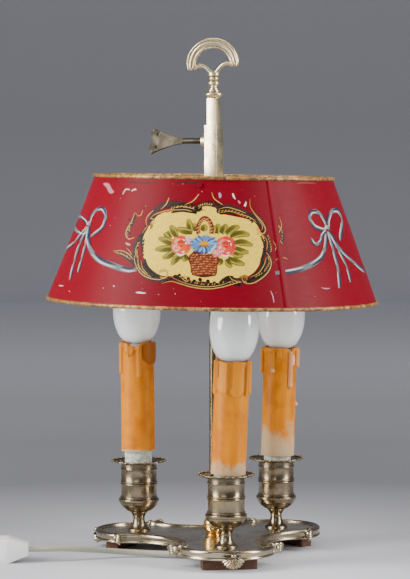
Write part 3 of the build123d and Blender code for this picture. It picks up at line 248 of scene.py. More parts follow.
class Shader:
    """A new material: a Principled shader and the nodes that feed it."""

    def __init__(self, name, **constants):
        self.material = bpy.data.materials.new(name)
        self.material.use_nodes = True
        self.nodes, self.links = self.material.node_tree.nodes, self.material.node_tree.links
        self.nodes.clear()
        self.surface = self.nodes.new("ShaderNodeBsdfPrincipled")
        end = self.nodes.new("ShaderNodeOutputMaterial")
        self.links.new(self.surface.outputs[0], end.inputs[0])
        self.place = self.node("ShaderNodeTexCoord", output="Object")
        self.finish(**constants)

    def put(self, socket, value):
        if isinstance(value, Socket):
            self.links.new(value.output, socket)
        elif isinstance(socket.default_value, float) or isinstance(value, (int, float)):
            socket.default_value = value
        else:
            value = tuple(value)
            socket.default_value = value + (1,) * (len(socket.default_value) - len(value))

    def node(self, kind, inputs=None, output=0, stops=None, **options):
        """Any node: its options first, then the values or links of its sockets."""
        made = self.nodes.new(kind)
        for label, value in options.items():
            setattr(made, label, value)
        if stops:
            ramp = made.color_ramp
            while len(ramp.elements) < len(stops):
                ramp.elements.new(0.5)
            for element, (place, colour) in zip(ramp.elements, stops):
                element.position, element.color = place, (*colour, 1)
        for key, value in (inputs or {}).items():
            self.put(made.inputs[key], value)
        return Socket(self, made.outputs[output])

    def math(self, operation, *values):
        return self.node("ShaderNodeMath", dict(enumerate(values)), operation=operation)

    def split(self, kind="ShaderNodeSeparateXYZ", whole=None):
        """The three parts of a vector or a colour, or of the object's own coordinates."""
        made = self.node(kind, {0: whole or self.place}).output.node
        return [Socket(self, part) for part in made.outputs]

    def noise(self, scale, detail=3.0, roughness=0.55, stretch=None):
        """Noise on the object's own coordinates, which stretch may multiply first."""
        at = self.place
        if stretch:
            at = self.node("ShaderNodeVectorMath", {0: at, 1: stretch}, operation="MULTIPLY")
        inputs = {"Vector": at, "Scale": scale, "Detail": detail, "Roughness": roughness}
        return self.node("ShaderNodeTexNoise", inputs)

    def cells(self, scale):
        return self.node("ShaderNodeTexVoronoi", {"Vector": self.place, "Scale": scale})

    def painted(self, attribute):
        """The colours that a piece's points carry."""
        return self.node("ShaderNodeAttribute", output="Color", attribute_name=attribute)

    def mix(self, factor, low_colour, high_colour):
        inputs = {0: factor, 6: low_colour, 7: high_colour}
        return self.node("ShaderNodeMix", inputs, 2, data_type="RGBA")

    def bump(self, height, depth, strength):
        inputs = {"Height": height, "Distance": depth, "Strength": strength}
        self.finish(normal=self.node("ShaderNodeBump", inputs))

    def finish(self, **values):
        """The material, once the surface's own sockets have these values or links."""
        for name, value in values.items():
            label = name.replace("_", " ").title().replace("Ior", "IOR")
            self.put(self.surface.inputs[label], value)
        return self.material


FINISHES = {}


def finish(maker, *values):
    """The material that a maker function gives, made once for each set of values."""
    key = (maker.__name__, *values)
    if key not in FINISHES:
        FINISHES[key] = maker(*values)
    return FINISHES[key]


# ---------------------------------------------------------------- finishes
def silver_plate(dull=0.0):
    """Worn plate. dull takes its tone down to the colour of old tarnish, and past 1 darker still."""
    colours = settings("metal")
    shader = Shader("silver_plate", metallic=1.0)
    clouds = shader.noise(55, 5)
    film = (clouds * 0.7 + shader.noise(420, 3) * 0.3).over(0.52, 0.12)
    spots = shader.noise(900, 2).over(0.68, 0.04)
    bare = shader.noise(38, 4, stretch=(1, 1, 2.2)).over(0.62, 0.06)
    clean = tuple(a * (1 - dull) + b * dull for a, b in zip(colours.silver, colours.tarnish))
    plate = shader.mix(film * 0.6, clean, tuple(channel * 0.7 for channel in colours.tarnish))
    gone = tuple(channel * (1 - dull * 0.5) for channel in colours.brass)
    plate = shader.mix(bare * 0.4, plate, gone)
    plate = shader.mix(spots * 0.4, plate, (0.1, 0.075, 0.05))
    scratches = shader.noise(260, 2, stretch=(1, 1, 14))
    shader.bump(scratches + shader.noise(190, 2) * 1.5, 0.03 * MM, 0.35)
    return shader.finish(base_color=plate, roughness=0.15 + dull * 0.05 + film * 0.14 + spots * 0.2)


def polished_and_lit_silver():
    """Plate that hands and the sliding shade keep bright, lighter too as painted light."""
    shader = Shader("polished_and_lit_silver", metallic=1.0)
    film = shader.noise(90, 4).over(0.52, 0.15)
    plate = shader.mix(film * 0.5, (0.86, 0.73, 0.47), (0.42, 0.34, 0.2))
    plate = shader.mix(shader.noise(500, 3).over(0.64, 0.05) * 0.4, plate, (0.3, 0.22, 0.12))
    scratches = shader.noise(500, 2, stretch=(3, 3, 0.4))
    shader.bump(scratches, 0.03 * MM, 0.3)
    return shader.finish(base_color=plate, roughness=0.26 + film * 0.15)


def raw_brass():
    colours = settings("metal")
    shader = Shader("raw_brass", metallic=1.0)
    film = shader.noise(130, 4).over(0.54, 0.1)
    tone = shader.mix(film * 0.4, colours.brass, (0.4, 0.24, 0.08))
    shader.bump(shader.noise(300, 2), 0.02 * MM, 0.3)
    return shader.finish(base_color=tone, roughness=0.16 + film * 0.16)


def plain_steel():
    shader = Shader("plain_steel", metallic=1.0)
    grain = shader.noise(600, 3)
    tone = shader.mix(grain, (0.42, 0.42, 0.43), (0.66, 0.66, 0.67))
    return shader.finish(base_color=tone, roughness=0.25 + grain * 0.2)


def thread_aluminium():
    shader = Shader("thread_aluminium", metallic=1.0)
    grain = shader.noise(700, 3)
    tone = shader.mix(grain, (0.6, 0.6, 0.62), (0.82, 0.82, 0.84))
    return shader.finish(base_color=tone, roughness=0.2 + grain * 0.15)


def dull_zinc():
    """The inner tube's metal, with a chalky green bloom."""
    shader = Shader("dull_zinc", roughness=0.6)
    bloom = shader.noise(300, 5).over(0.5, 0.12)
    crust = shader.cells(700).over(0.45, 0.2)
    tone = shader.mix(bloom, (0.3, 0.33, 0.25), (0.62, 0.68, 0.6))
    tone = shader.mix(crust * 0.35, tone, (0.85, 0.86, 0.8))
    shader.bump(bloom + crust, 0.15 * MM, 0.5)
    return shader.finish(base_color=tone, roughness=0.5 + bloom * 0.3)


def cork():
    shader = Shader("cork", roughness=0.8)
    grain = shader.cells(420)
    dark = shader.noise(700, 4).over(0.6, 0.05)
    tone = shader.mix(grain, (0.12, 0.048, 0.027), (0.07, 0.027, 0.015))
    tone = shader.mix(dark * 0.7, tone, (0.16, 0.07, 0.04))
    shader.bump(grain - dark, 0.3 * MM, 0.6)
    return shader.finish(base_color=tone, roughness=0.75 + dark * 0.1)


def wax(name, worn_to, turn):
    """Waxed card, rubbed pale from the foot up to a height above the sleeve's foot."""
    colours = settings("candle")
    shader = Shader(
        f"wax_{name}", subsurface_weight=0.05, subsurface_scale=2 * MM, specular_ior_level=0.18
    )
    height = shader.split()[2] - low(f"candle_sleeve_{name}").z
    streaks = shader.noise(150, 4, stretch=(1, 1, 0.18))
    clouds = shader.noise(48, 4)
    tone = shader.mix(streaks.over(0.5, 0.25), colours.wax, (0.72, 0.25, 0.0))
    tone = shader.mix(clouds.over(0.56, 0.12) * 0.6, tone, (0.42, 0.092, 0.0))
    ragged = shader.noise(95 + turn, 5, 0.65, (1, 1, 0.6))
    worn = (ragged * 2.6 - height / worn_to - 0.75).over(0.0, 0.3) * (0.45 + streaks * 0.9)
    tone = shader.mix(worn, tone, colours.bare)
    # The points carry how burnt the wax is, with painted shade along the edges of the runs, then how
    # pale it is and how thick the dipped wax lies
    burn_and_shade, pale, dipped = shader.split("ShaderNodeSeparateColor", shader.painted("scorch"))
    tone = shader.mix(dipped * (0.25 + clouds * 0.6), tone, (0.78, 0.28, 0.014))
    tone = shader.mix(burn_and_shade, tone, (0.2, 0.05, 0.006))
    tone = shader.mix(pale, tone, (0.86, 0.56, 0.4))
    dirt = shader.noise(900, 3).over(0.66, 0.04)
    tone = shader.mix(dirt * 0.35, tone, (0.2, 0.08, 0.02))
    shader.bump(streaks + shader.noise(500, 3) * 0.4 - worn * 0.5, 0.18 * MM, 0.5)
    return shader.finish(base_color=tone, roughness=0.34 + worn * 0.35 + clouds * 0.1)


def opal_glass():
    shader = Shader(
        "opal_glass", coat_weight=0.8, coat_roughness=0.02, subsurface_weight=0.12,
        subsurface_scale=6 * MM,
    )
    haze = shader.noise(60, 3)
    foot = (shader.split()[2] - high("candle_sleeve_front").z).under(7 * MM, 7 * MM)
    tone = shader.mix(haze * 0.25, settings("candle").glass, (0.86, 0.88, 0.87))
    tone = shader.mix(foot * 0.3, tone, (0.5, 0.46, 0.42))
    return shader.finish(base_color=tone, roughness=0.05 + haze * 0.06)


def porcelain():
    shader = Shader("holder_porcelain", roughness=0.4)
    grain = shader.noise(250, 3)
    tone = shader.mix(grain, (0.62, 0.58, 0.5), (0.74, 0.71, 0.64))
    return shader.finish(base_color=tone, roughness=0.35 + grain * 0.2)


def lacquer():
    """Crimson lacquer brushed round the shade, speckled, chipped and faded in clouds."""
    colours = settings("shade")
    shader = Shader("crimson_lacquer", specular_ior_level=0.1)
    brushed = shader.noise(90, 4, stretch=(1, 1, 7))
    weave = shader.noise(900, 2, stretch=(1, 1, 1.5))
    clouds = shader.noise(16, 4)
    tone = shader.mix(clouds.over(0.5, 0.2), colours.lacquer, (0.22, 0.002, 0.011))
    tone = shader.mix(brushed.over(0.55, 0.2) * 0.35, tone, (0.21, 0.004, 0.018))
    speck = shader.noise(620, 2).over(0.76, 0.012)
    soot = shader.noise(410, 3).over(0.7, 0.02)
    tone = shader.mix(speck * 0.6, tone, (0.6, 0.34, 0.34))
    tone = shader.mix(soot * 0.6, tone, (0.1, 0.01, 0.015))
    shader.bump(brushed + weave * 0.7, 0.08 * MM, 0.4)
    return shader.finish(base_color=tone, roughness=0.3 + brushed * 0.2 + weave * 0.1)


def shade_lining():
    shader = Shader("shade_lining", roughness=0.6)
    stain = shader.noise(30, 5).over(0.55, 0.15)
    tone = shader.mix(stain * 0.4, settings("shade").lining, (0.5, 0.4, 0.26))
    shader.bump(shader.noise(500, 2), 0.05 * MM, 0.4)
    return shader.finish(base_color=tone, roughness=0.5 + stain * 0.2)


def brushed_paint():
    """Oil colours in thin strokes, a little worn through."""
    shader = Shader("brushed_paint", specular_ior_level=0.15)
    clouds = shader.noise(700, 3)
    tone = shader.mix(clouds.over(0.55, 0.2) * 0.22, shader.painted("paint"), (0.2, 0.11, 0.06))
    worn = shader.noise(1500, 2).over(0.74, 0.03)
    tone = shader.mix(worn * 0.6, tone, (0.3, 0.1, 0.08))
    shader.bump(shader.noise(900, 2), 0.05 * MM, 0.35)
    return shader.finish(base_color=tone, roughness=0.42 + clouds * 0.14)


def pewter():
    """The key's plate, rubbed through to a grey-brown metal."""
    shader = Shader("pewter", metallic=0.6, specular_ior_level=0.3)
    film = shader.noise(160, 5).over(0.5, 0.15)
    tone = shader.mix(film * 0.7, (0.036, 0.028, 0.016), (0.02, 0.014, 0.008))
    tone = shader.mix(shader.noise(80, 3).over(0.6, 0.08) * 0.3, tone, (0.13, 0.105, 0.06))
    shader.bump(shader.noise(400, 3), 0.05 * MM, 0.4)
    return shader.finish(base_color=tone, roughness=0.3 + film * 0.2)


def gilt_edge():
    """Gilt paint on the wired rims, worn to dark tin and smudged with lacquer."""
    colours = settings("shade")
    shader = Shader("gilt_edge")
    clouds = shader.noise(140, 5)
    chips = shader.noise(330, 4)
    tone = shader.mix(clouds.over(0.56, 0.1), colours.gilt, (0.58, 0.33, 0.1))
    tone = shader.mix(chips.over(0.53, 0.05) * 0.8, tone, (0.07, 0.03, 0.022))
    tone = shader.mix(chips.under(0.27, 0.03) * 0.7, tone, (0.7, 0.6, 0.45))
    shader.bump(chips, 0.1 * MM, 0.6)
    metallic = 0.35 - chips.over(0.53, 0.04) * 0.3
    return shader.finish(base_color=tone, roughness=0.38 + clouds * 0.2, metallic=metallic)


def clear_flex():
    shader = Shader(
        "clear_flex", coat_weight=0.5, coat_roughness=0.15, subsurface_weight=0.3,
        subsurface_scale=2 * MM,
    )
    dust = shader.noise(240, 4)
    tone = shader.mix(dust * 0.5, settings("cord").flex, (0.5, 0.49, 0.42))
    return shader.finish(base_color=tone, roughness=0.28 + dust * 0.15)


def white_plastic():
    shader = Shader("white_plastic", subsurface_weight=0.08, subsurface_scale=2 * MM)
    grime = shader.noise(120, 5).over(0.6, 0.12)
    tone = shader.mix(grime * 0.25, settings("cord").plastic, (0.6, 0.53, 0.4))
    shader.bump(shader.noise(1200, 2), 0.04 * MM, 0.3)
    return shader.finish(base_color=tone, roughness=0.32 + grime * 0.15)


def block_plastic():
    shader = Shader("block_plastic")
    grime = shader.noise(200, 4)
    tone = shader.mix(grime, (0.68, 0.64, 0.52), (0.5, 0.46, 0.38))
    return shader.finish(base_color=tone, roughness=0.4 + grime * 0.2)


# ---------------------------------------------------------------- mesh helpers
def link(name, data):
    made = bpy.data.objects.new(name, data)
    bpy.context.scene.collection.objects.link(made)
    return made


def coloured_mesh(name, points, faces, attribute, tints):
    """A mesh whose points carry colours in an attribute of their own."""
    mesh = bpy.data.meshes.new(name)
    mesh.from_pydata(points, [], faces)
    colours = mesh.color_attributes.new(attribute, "FLOAT_COLOR", "POINT")
    colours.data.foreach_set("color", [part for tint in tints for part in (*tint, 1)])
    return mesh


def rows_mesh(rows, wrap=True, close=False):
    """Points and faces of a surface through equal rows of points."""
    count, ends = len(rows[0]), len(rows) if close else len(rows) - 1
    faces = []
    for row in range(ends):
        above = (row + 1) % len(rows) * count
        for column in range(count if wrap else count - 1):
            beside = (column + 1) % count
            faces.append((row * count + column, row * count + beside, above + beside, above + column))
    return [Vector(point) for row in rows for point in row], faces


def tidy_mesh(mesh, crease=32.0, merge=1e-6, outwards=True):
    """Merges doubled points, turns the faces outwards and shades smooth but for sharp edges."""
    shape = bmesh.new()
    shape.from_mesh(mesh)
    bmesh.ops.remove_doubles(shape, verts=shape.verts, dist=merge)
    bmesh.ops.dissolve_degenerate(shape, edges=shape.edges, dist=merge)
    if outwards:
        bmesh.ops.recalc_face_normals(shape, faces=shape.faces)
    shape.to_mesh(mesh)
    shape.free()
    mesh.shade_smooth()
    mesh.set_sharp_from_angle(angle=radians(crease))
    return mesh


def piece(name, surfaces, material, body, replaces=(), crease=32.0):
    """A finished mesh piece from one or more surfaces, riding on a body."""
    points, faces = [], []
    for some_points, some_faces in surfaces:
        start = len(points)
        points += some_points
        faces += [tuple(start + corner for corner in face) for face in some_faces]
    mesh = bpy.data.meshes.new(name)
    mesh.from_pydata(points, [], faces)
    tidy_mesh(mesh, crease)
    mesh.materials.append(material)
    return settle(link(name, mesh), body, replaces)


def settle(made, body, replaces=()):
    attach(made, body)
    if replaces:
        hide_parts(*replaces)
    return made


def outline(*stops, steps=6):
    """A profile through (radius, height) stops, as rows of points. A stop's third number bows the
    run that ends there to the right of its travel, by that share of half the run's length."""
    points = [Vector(stops[0][:2])]
    for stop in stops[1:]:
        start, end = points[-1], Vector(stop[:2])
        bow = stop[2] if len(stop) > 2 else 0
        if abs(bow) < 1e-6:
            points.append(end)
            continue
        chord = end - start
        along, right = chord.normalized(), Vector((chord.y, -chord.x)).normalized()
        half = 2 * atan(bow)
        radius = chord.length / 2 / sin(half)
        for step in range(1, steps + 1):
            turn = half * (2 * step / steps - 1)
            points.append(
                (start + end) / 2
                + along * radius * sin(turn)
                + right * radius * (cos(turn) - cos(half))
            )
    return points


def turned(profile, place=Matrix(), segments=72, ripple=None):
    """A lathe surface round a placed Z axis. ripple(angle, radius, height) may reshape it."""
    rows = []
    for radius, height in profile:
        row = []
        for step in range(segments):
            angle = FULL_TURN * step / segments
            r, z = ripple(angle, radius, height) if ripple else (radius, height)
            row.append(place @ Vector((r * cos(angle), r * sin(angle), z)))
        rows.append(row)
    return rows_mesh(rows)


def smooth_path(points, per_run=8):
    """A Catmull-Rom curve through points."""
    points = [Vector(point) for point in points]
    ends = [2 * points[0] - points[1], *points, 2 * points[-1] - points[-2]]
    path = []
    for a, b, c, d in zip(ends, ends[1:], ends[2:], ends[3:]):
        for t in (step / per_run for step in range(per_run)):
            bend, twist = 2 * a - 5 * b + 4 * c - d, 3 * b - a - 3 * c + d
            path.append((2 * b + (c - a) * t + bend * t**2 + twist * t**3) / 2)
    return [*path, points[-1]]


def frames_along(path):
    """Turning-free frames along a path: two directions square to it at each point."""
    tangents = [
        (path[min(index + 1, len(path) - 1)] - path[max(index - 1, 0)]).normalized()
        for index in range(len(path))
    ]
    side = tangents[0].orthogonal().normalized()
    frames = []
    for index, tangent in enumerate(tangents):
        if index:
            side = tangents[index - 1].rotation_difference(tangent) @ side
        side = (side - tangent * side.dot(tangent)).normalized()
        frames.append((side, tangent.cross(side)))
    return frames


def rod(path, radii, sides):
    """A closed round rod along a path."""
    turns = [FULL_TURN * step / sides for step in range(sides)]
    rows = [
        [point + side * radius * cos(turn) + other * radius * sin(turn) for turn in turns]
        for point, radius, (side, other) in zip(path, radii, frames_along(path))
    ]
    return rows_mesh([[path[0]] * sides, *rows, [path[-1]] * sides])


def ball(centre, radius, squash=1.0, sides=16, rings=8):
    turns = [pi * ring / rings for ring in range(rings + 1)]
    profile = [(radius * sin(turn), radius * squash * -cos(turn)) for turn in turns]
    return turned(profile, Matrix.Translation(centre), sides)


def dressed(material, *nodes):
    """CAD nodes that keep their own meshes and take a finish."""
    for node in nodes:
        mesh = frame["nodes"][node].data
        mesh.materials.clear()
        mesh.materials.append(material)


def plain_mesh(made):
    """The object's mesh with its modifiers worked in, and the modifiers gone."""
    graph = bpy.context.evaluated_depsgraph_get()
    mesh = bpy.data.meshes.new_from_object(made.evaluated_get(graph))
    made.modifiers.clear()
    mesh.name, made.data = made.name, mesh
    return mesh


SOFT_CREASE = radians(30)
FLAT_ENOUGH = radians(0.5)


def softened(node, material, body, edge=0.0):
    """A smooth-shaded copy of a CAD node with its edges broken, which stands for it."""
    mesh = frame["nodes"][node].data.copy()
    mesh.name = f"{node}_finished"
    if "custom_normal" in mesh.attributes:
        mesh.attributes.remove(mesh.attributes["custom_normal"])
    tidy_mesh(mesh, degrees(SOFT_CREASE), 1e-5, outwards=False)
    mesh.materials.clear()
    mesh.materials.append(material)
    made = link(f"{node}_finished", mesh)
    if edge:
        shape = bmesh.new()
        shape.from_mesh(mesh)
        bmesh.ops.dissolve_limit(
            shape, angle_limit=FLAT_ENOUGH, verts=shape.verts, edges=shape.edges
        )
        shape.to_mesh(mesh)
        shape.free()
        broken = made.modifiers.new("edge", "BEVEL")
        broken.width, broken.segments = edge, 2
        broken.limit_method, broken.angle_limit = "ANGLE", SOFT_CREASE
        mesh = plain_mesh(made)
        mesh.shade_smooth()
        mesh.set_sharp_from_angle(angle=SOFT_CREASE)
    return settle(made, body, (node,))


# ---------------------------------------------------------------- stage
CAMERA_AZIMUTH = -8.5
CAMERA_REACH = 1.89
CAMERA_HEIGHT = 0.3
CAMERA_LENS = 158.3
AIM_ASIDE = -6.5 * MM
AIM_HEIGHT = 0.1971


def camera_side():
    return compass(CAMERA_AZIMUTH + 90)


def make_camera():
    data = bpy.data.cameras.new("camera")
    data.sensor_fit, data.sensor_height, data.lens = "VERTICAL", 36.0, CAMERA_LENS
    data.clip_end = 50
    camera = link("camera", data)
    camera.location = compass(CAMERA_AZIMUTH, CAMERA_REACH, CAMERA_HEIGHT)
    aim = camera_side() * AIM_ASIDE + UP * AIM_HEIGHT
    camera.rotation_euler = (aim - camera.location).to_track_quat("-Z", "Y").to_euler()
    bpy.context.scene.camera = camera


def soft_box(name, azimuth, reach, height, size, power, tint=(1, 1, 1), aim=0.12):
    """An area light on a stand, at an azimuth from the camera's."""
    data = bpy.data.lights.new(name, "AREA")
    data.shape, (data.size, data.size_y) = "RECTANGLE", size
    data.energy, data.color = power, tint
    lamp = link(name, data)
    lamp.location = compass(CAMERA_AZIMUTH + azimuth, reach, height)
    lamp.rotation_euler = (UP * aim - lamp.location).to_track_quat("-Z", "Y").to_euler()
    lamp.visible_camera = False


# Painted light and shade on the paper: a share of the way out, and how much of the floor's colour there
# is against the backdrop's
BACKDROP_STOPS = (
    (0.0, 1.0), (0.087, 0.98), (0.152, 0.84), (0.187, 0.72), (0.216, 0.58), (0.244, 0.45),
    (0.287, 0.26), (0.321, 0.15), (0.373, 0.03), (0.466, 0.09), (0.57, 0.24), (0.7, 0.6),
    (0.9, 0.95), (1.0, 0.48),
)
FADE_REACH = 4.0


def backdrop_paper():
    """Pale by the lamp and grey further out, as paper that the lights don't reach."""
    colours = settings("stage")
    shader = Shader("backdrop_paper", roughness=0.6)
    x, y, _ = shader.split()
    centre = compass(CAMERA_AZIMUTH, 0.13)
    away = ((x - centre.x) ** 2 + (y - centre.y) ** 2) ** 0.5
    stops = [
        (place, tuple(share * a + (1 - share) * b for a, b in zip(colours.floor, colours.backdrop)))
        for place, share in BACKDROP_STOPS
    ]
    tone = shader.node("ShaderNodeValToRGB", {0: (away / FADE_REACH) ** 0.5}, stops=stops)
    return shader.finish(base_color=tone, roughness=0.55 + shader.noise(4) * 0.1)


FLOOR_R = 3.2
BEND_R = 0.8
BEND_STEPS = 12
WALL_HEIGHT = 5.5


class LAMP_OT_stage(bpy.types.Operator):
    """Make the floor, the backdrop, the lights and the camera"""

    bl_idname = "lamp.stage"
    bl_label = "Stage"

    def execute(self, context):
        bends = [pi / 2 * step / BEND_STEPS for step in range(1, BEND_STEPS + 1)]
        profile = [(radius, 0.0) for radius in (0.0, 0.3, 0.6, 1.2, FLOOR_R)]
        profile += [(FLOOR_R + BEND_R * sin(bend), BEND_R - BEND_R * cos(bend)) for bend in bends]
        points, faces = turned([*profile, (FLOOR_R + BEND_R, WALL_HEIGHT)], segments=96)
        mesh = bpy.data.meshes.new("paper_bowl")
        mesh.from_pydata(points, [], [face[::-1] for face in faces])
        tidy_mesh(mesh, outwards=False)
        mesh.materials.append(finish(backdrop_paper))
        link("paper_bowl", mesh)
        make_camera()
        power = settings("stage")
        soft_box("key", -70, 1.3, 0.66, (0.62, 1.3), power.key_power, (1, 0.985, 0.96))
        soft_box("fill", 72, 1.35, 0.74, (0.42, 1.4), power.fill_power, (1, 0.99, 0.975))
        soft_box("top", 165, 0.5, 1.9, (1.8, 1.2), 18.0)
        soft_box("front", -16, 2.4, 1.0, (1.2, 0.9), 9.0)
        world = bpy.data.worlds.new("studio")
        world.use_nodes = True
        background = world.node_tree.nodes["Background"]
        background.inputs[0].default_value = (0.55, 0.57, 0.62, 1)
        background.inputs[1].default_value = 0.3
        context.scene.world = world
        return {"FINISHED"}


# ---------------------------------------------------------------- cord, switch and plug
CORD_SWITCH = Vector((-170.4, -16.0, 0.0)) * MM
SWITCH_TURN = 171.5
HALF_SWITCH = 31 * MM
CORD_INSERT = 5 * MM
CORD_STANDOFF = 12 * MM
COIL_CENTRE = Vector((-206.0, 35.5, 0.0)) * MM
COIL_R = 23 * MM
COIL_PITCH = 4.15 * MM
COIL_LAYERS = 4
POINTS_A_TURN = 16
STEPS_UP = 4
TIE_TURN = -40.0
TIE_STEPS = 16
TIE_WIDTH = 2.8 * MM
TIE_THICK = 1.0 * MM
PLUG_BACK = Vector((-231.5, 75.5, 6.8)) * MM
PLUG_TURN = 92.0
PLUG_INSERT = 4 * MM
LEAD_POINTS = (
    (8.0, -17.0, 6.6), (-7.0, -28.2, 6.2), (-27.0, -25.5, 3.6), (-52.3, -12.9, 3.2),
    (-72.5, -11.4, 4.5), (-93.6, -17.0, 7.0), (-114.0, -20.2, 8.9),
)
TAIL_POINTS = ((-225.4, -2.9, 7.4), (-233.0, 7.9, 4.6), (-235.8, 20.7, 2.8))
LAST_POINTS = ((-234.3, 48.5, 13.2),)


def heading(turn):
    return Vector((cos(radians(turn)), sin(radians(turn)), 0))


def points_mm(points):
    return [Vector(point) * MM for point in points]


def at_switch(along):
    """A point on the cord's line through the switch, where its two shells meet."""
    return CORD_SWITCH + heading(SWITCH_TURN) * along + UP * high("switch_lower").z


def lead_route():
    """From the clip under the tray, over the table and into the switch."""
    ends = [at_switch(-HALF_SWITCH - CORD_STANDOFF), at_switch(CORD_INSERT - HALF_SWITCH)]
    return points_mm(LEAD_POINTS) + ends


def tail_route():
    """Out of the switch and down to the table by the coil."""
    start = [at_switch(HALF_SWITCH - CORD_INSERT), at_switch(HALF_SWITCH + CORD_STANDOFF)]
    return start + points_mm(TAIL_POINTS)


def plug_route():
    """Down off the coil and square into the plug's back."""
    ends = [PLUG_BACK + heading(PLUG_TURN) * along for along in (-CORD_STANDOFF, PLUG_INSERT)]
    return points_mm(LAST_POINTS) + ends


def tie_surface():
    """A strap round the turns on one side of the coil."""
    wide = COIL_PITCH * settings("cord").turns / 2 + 3.1 * MM
    tall = COIL_PITCH * COIL_LAYERS / 2
    loop = []
    for step in range(TIE_STEPS):
        angle = FULL_TURN * step / TIE_STEPS
        up = max(tall + 0.4 * MM + (tall + 0.3 * MM) * sin(angle), 0.6 * MM)
        loop.append(COIL_CENTRE + compass(TIE_TURN, COIL_R + wide * cos(angle), up))
    core = COIL_CENTRE + compass(TIE_TURN, COIL_R, tall)
    side = compass(TIE_TURN + 90) * TIE_WIDTH
    band = [
        [at + side * across + (at - core).normalized() * TIE_THICK * out for at in loop]
        for across, out in ((-0.5, -0.5), (0.5, -0.5), (0.5, 0.5), (-0.5, 0.5))
    ]
    return rows_mesh(band, close=True)


def coil_route():
    """Flat layers of turns, wound in and out by turns, from the outside to the outside."""
    turns = settings("cord").turns
    breadth, count = COIL_PITCH * turns, round(turns * POINTS_A_TURN)
    points = []
    for layer in range(COIL_LAYERS):
        for step in range(1 if layer else 0, count + 1):
            share = step / count
            reach = COIL_R + breadth / 2 - breadth * (1 - share if layer % 2 else share)
            rise = layer - 1 + min(1.0, step / STEPS_UP) if layer else 0
            angle = FULL_TURN * turns * (layer + share)
            height = settings("cord").diameter / 2 + COIL_PITCH * rise
            points.append(COIL_CENTRE + Vector((-reach * cos(angle), reach * sin(angle), height)))
    return points


def cord_curve(name, points):
    data = bpy.data.curves.new(name, "CURVE")
    data.dimensions = "3D"
    spline = data.splines.new("NURBS")
    spline.points.add(len(points) - 1)
    for control, point in zip(spline.points, points):
        control.co = (*point, 1)
    spline.order_u = 3
    spline.use_endpoint_u = True
    data.bevel_depth = settings("cord").diameter / 2
    data.bevel_resolution = 5
    data.use_fill_caps = True
    data.materials.append(finish(clear_flex))
    return link(name, data)


def curve_length(curve):
    """The real length of a cord's own line."""
    data = curve.data.copy()
    data.bevel_depth = 0
    probe = bpy.data.objects.new("probe", data)
    points = [vertex.co for vertex in bpy.data.meshes.new_from_object(probe).vertices]
    bpy.data.objects.remove(probe)
    return sum((b - a).length for a, b in zip(points, points[1:]))


class LAMP_OT_cord(bpy.types.Operator):
    """Lay the flex out to its switch and wind the rest up by the plug"""

    bl_idname = "lamp.cord"
    bl_label = "Cord, switch and plug"

    def execute(self, context):
        plastic = finish(white_plastic)
        switch = [
            softened(node, plastic, body, edge * MM)
            for node, body, edge in (
                ("switch_lower", "lamp_base", 0.6),
                ("switch_upper", "lamp_base", 0.6),
                ("switch_rocker", "rocker", 0.4),
            )
        ]
        switch.append(frame["nodes"]["switch_screws"])
        plug = softened("plug_body", plastic, "lamp_base", 0.8 * MM)
        dressed(finish(plain_steel), "switch_screws")
        dressed(finish(raw_brass), "plug_pins")
        flex = settings("cord")

        lead = cord_curve("flex_lead", lead_route())
        length = curve_length(lead)
        settle(lead, "lamp_base", ("cord_lead",))

        tie = piece("cord_tie", [tie_surface()], plastic, "lamp_base")
        route = tail_route() + coil_route() + plug_route()
        tail = cord_curve("flex_tail", route)
        length = curve_length(tail)
        settle(tail, "lamp_base", ("cord_tail", "cord_coil", "cord_end"))
        return {"FINISHED"}


# ---------------------------------------------------------------- tray
CORNER_TURN = 30.0
CORNER_INSET = 22 * MM
WAIST_INSET = 51.5 * MM
LOBES = 3
LOBE_STEPS = 40
WAIST_STEPS = 30


def circle_through(half_chord, rise):
    return (half_chord**2 + rise**2) / (2 * rise)


def tray_line(inset, height):
    """The tray's outline drawn in by an inset: arcs round the lobes and arcs across the waists."""
    corner, waist = LOBE_REACH - CORNER_INSET, LOBE_REACH - WAIST_INSET
    between, turn = 180 / LOBES, radians(CORNER_TURN)
    lobe_r = circle_through(corner * sin(turn), LOBE_REACH - corner * cos(turn))
    turn = radians(between - CORNER_TURN)
    waist_r = circle_through(corner * sin(turn), corner * cos(turn) - waist)
    lobe_at, waist_at = LOBE_REACH - lobe_r, waist + waist_r
    lobe_r, waist_r = lobe_r - inset, waist_r + inset
    # Where the two arcs meet, from the triangle of their centres and that point
    turn = pi / LOBES
    span = (compass(between, waist_at) - compass(0, lobe_at)).length
    reach = (span**2 + lobe_r**2 - waist_r**2) / (2 * span)
    bearing = atan2(waist_at * sin(turn), waist_at * cos(turn) - lobe_at)
    lobe_half = degrees(bearing - acos(reach / lobe_r))
    bearing = atan2(lobe_at * sin(turn), waist_at - lobe_at * cos(turn))
    waist_half = degrees(bearing + acos((span - reach) / waist_r))
    points = []
    for lobe in range(LOBES):
        turn = lobe * 360 / LOBES
        for step in range(LOBE_STEPS):
            angle = turn + lobe_half * (2 * step / (LOBE_STEPS - 1) - 1)
            points.append(compass(turn, lobe_at, height) + compass(angle, lobe_r))
        turn += between
        for step in range(1, WAIST_STEPS):
            angle = turn + 180 + waist_half * (1 - 2 * step / WAIST_STEPS)
            points.append(compass(turn, waist_at, height) + compass(angle, waist_r))
    return points


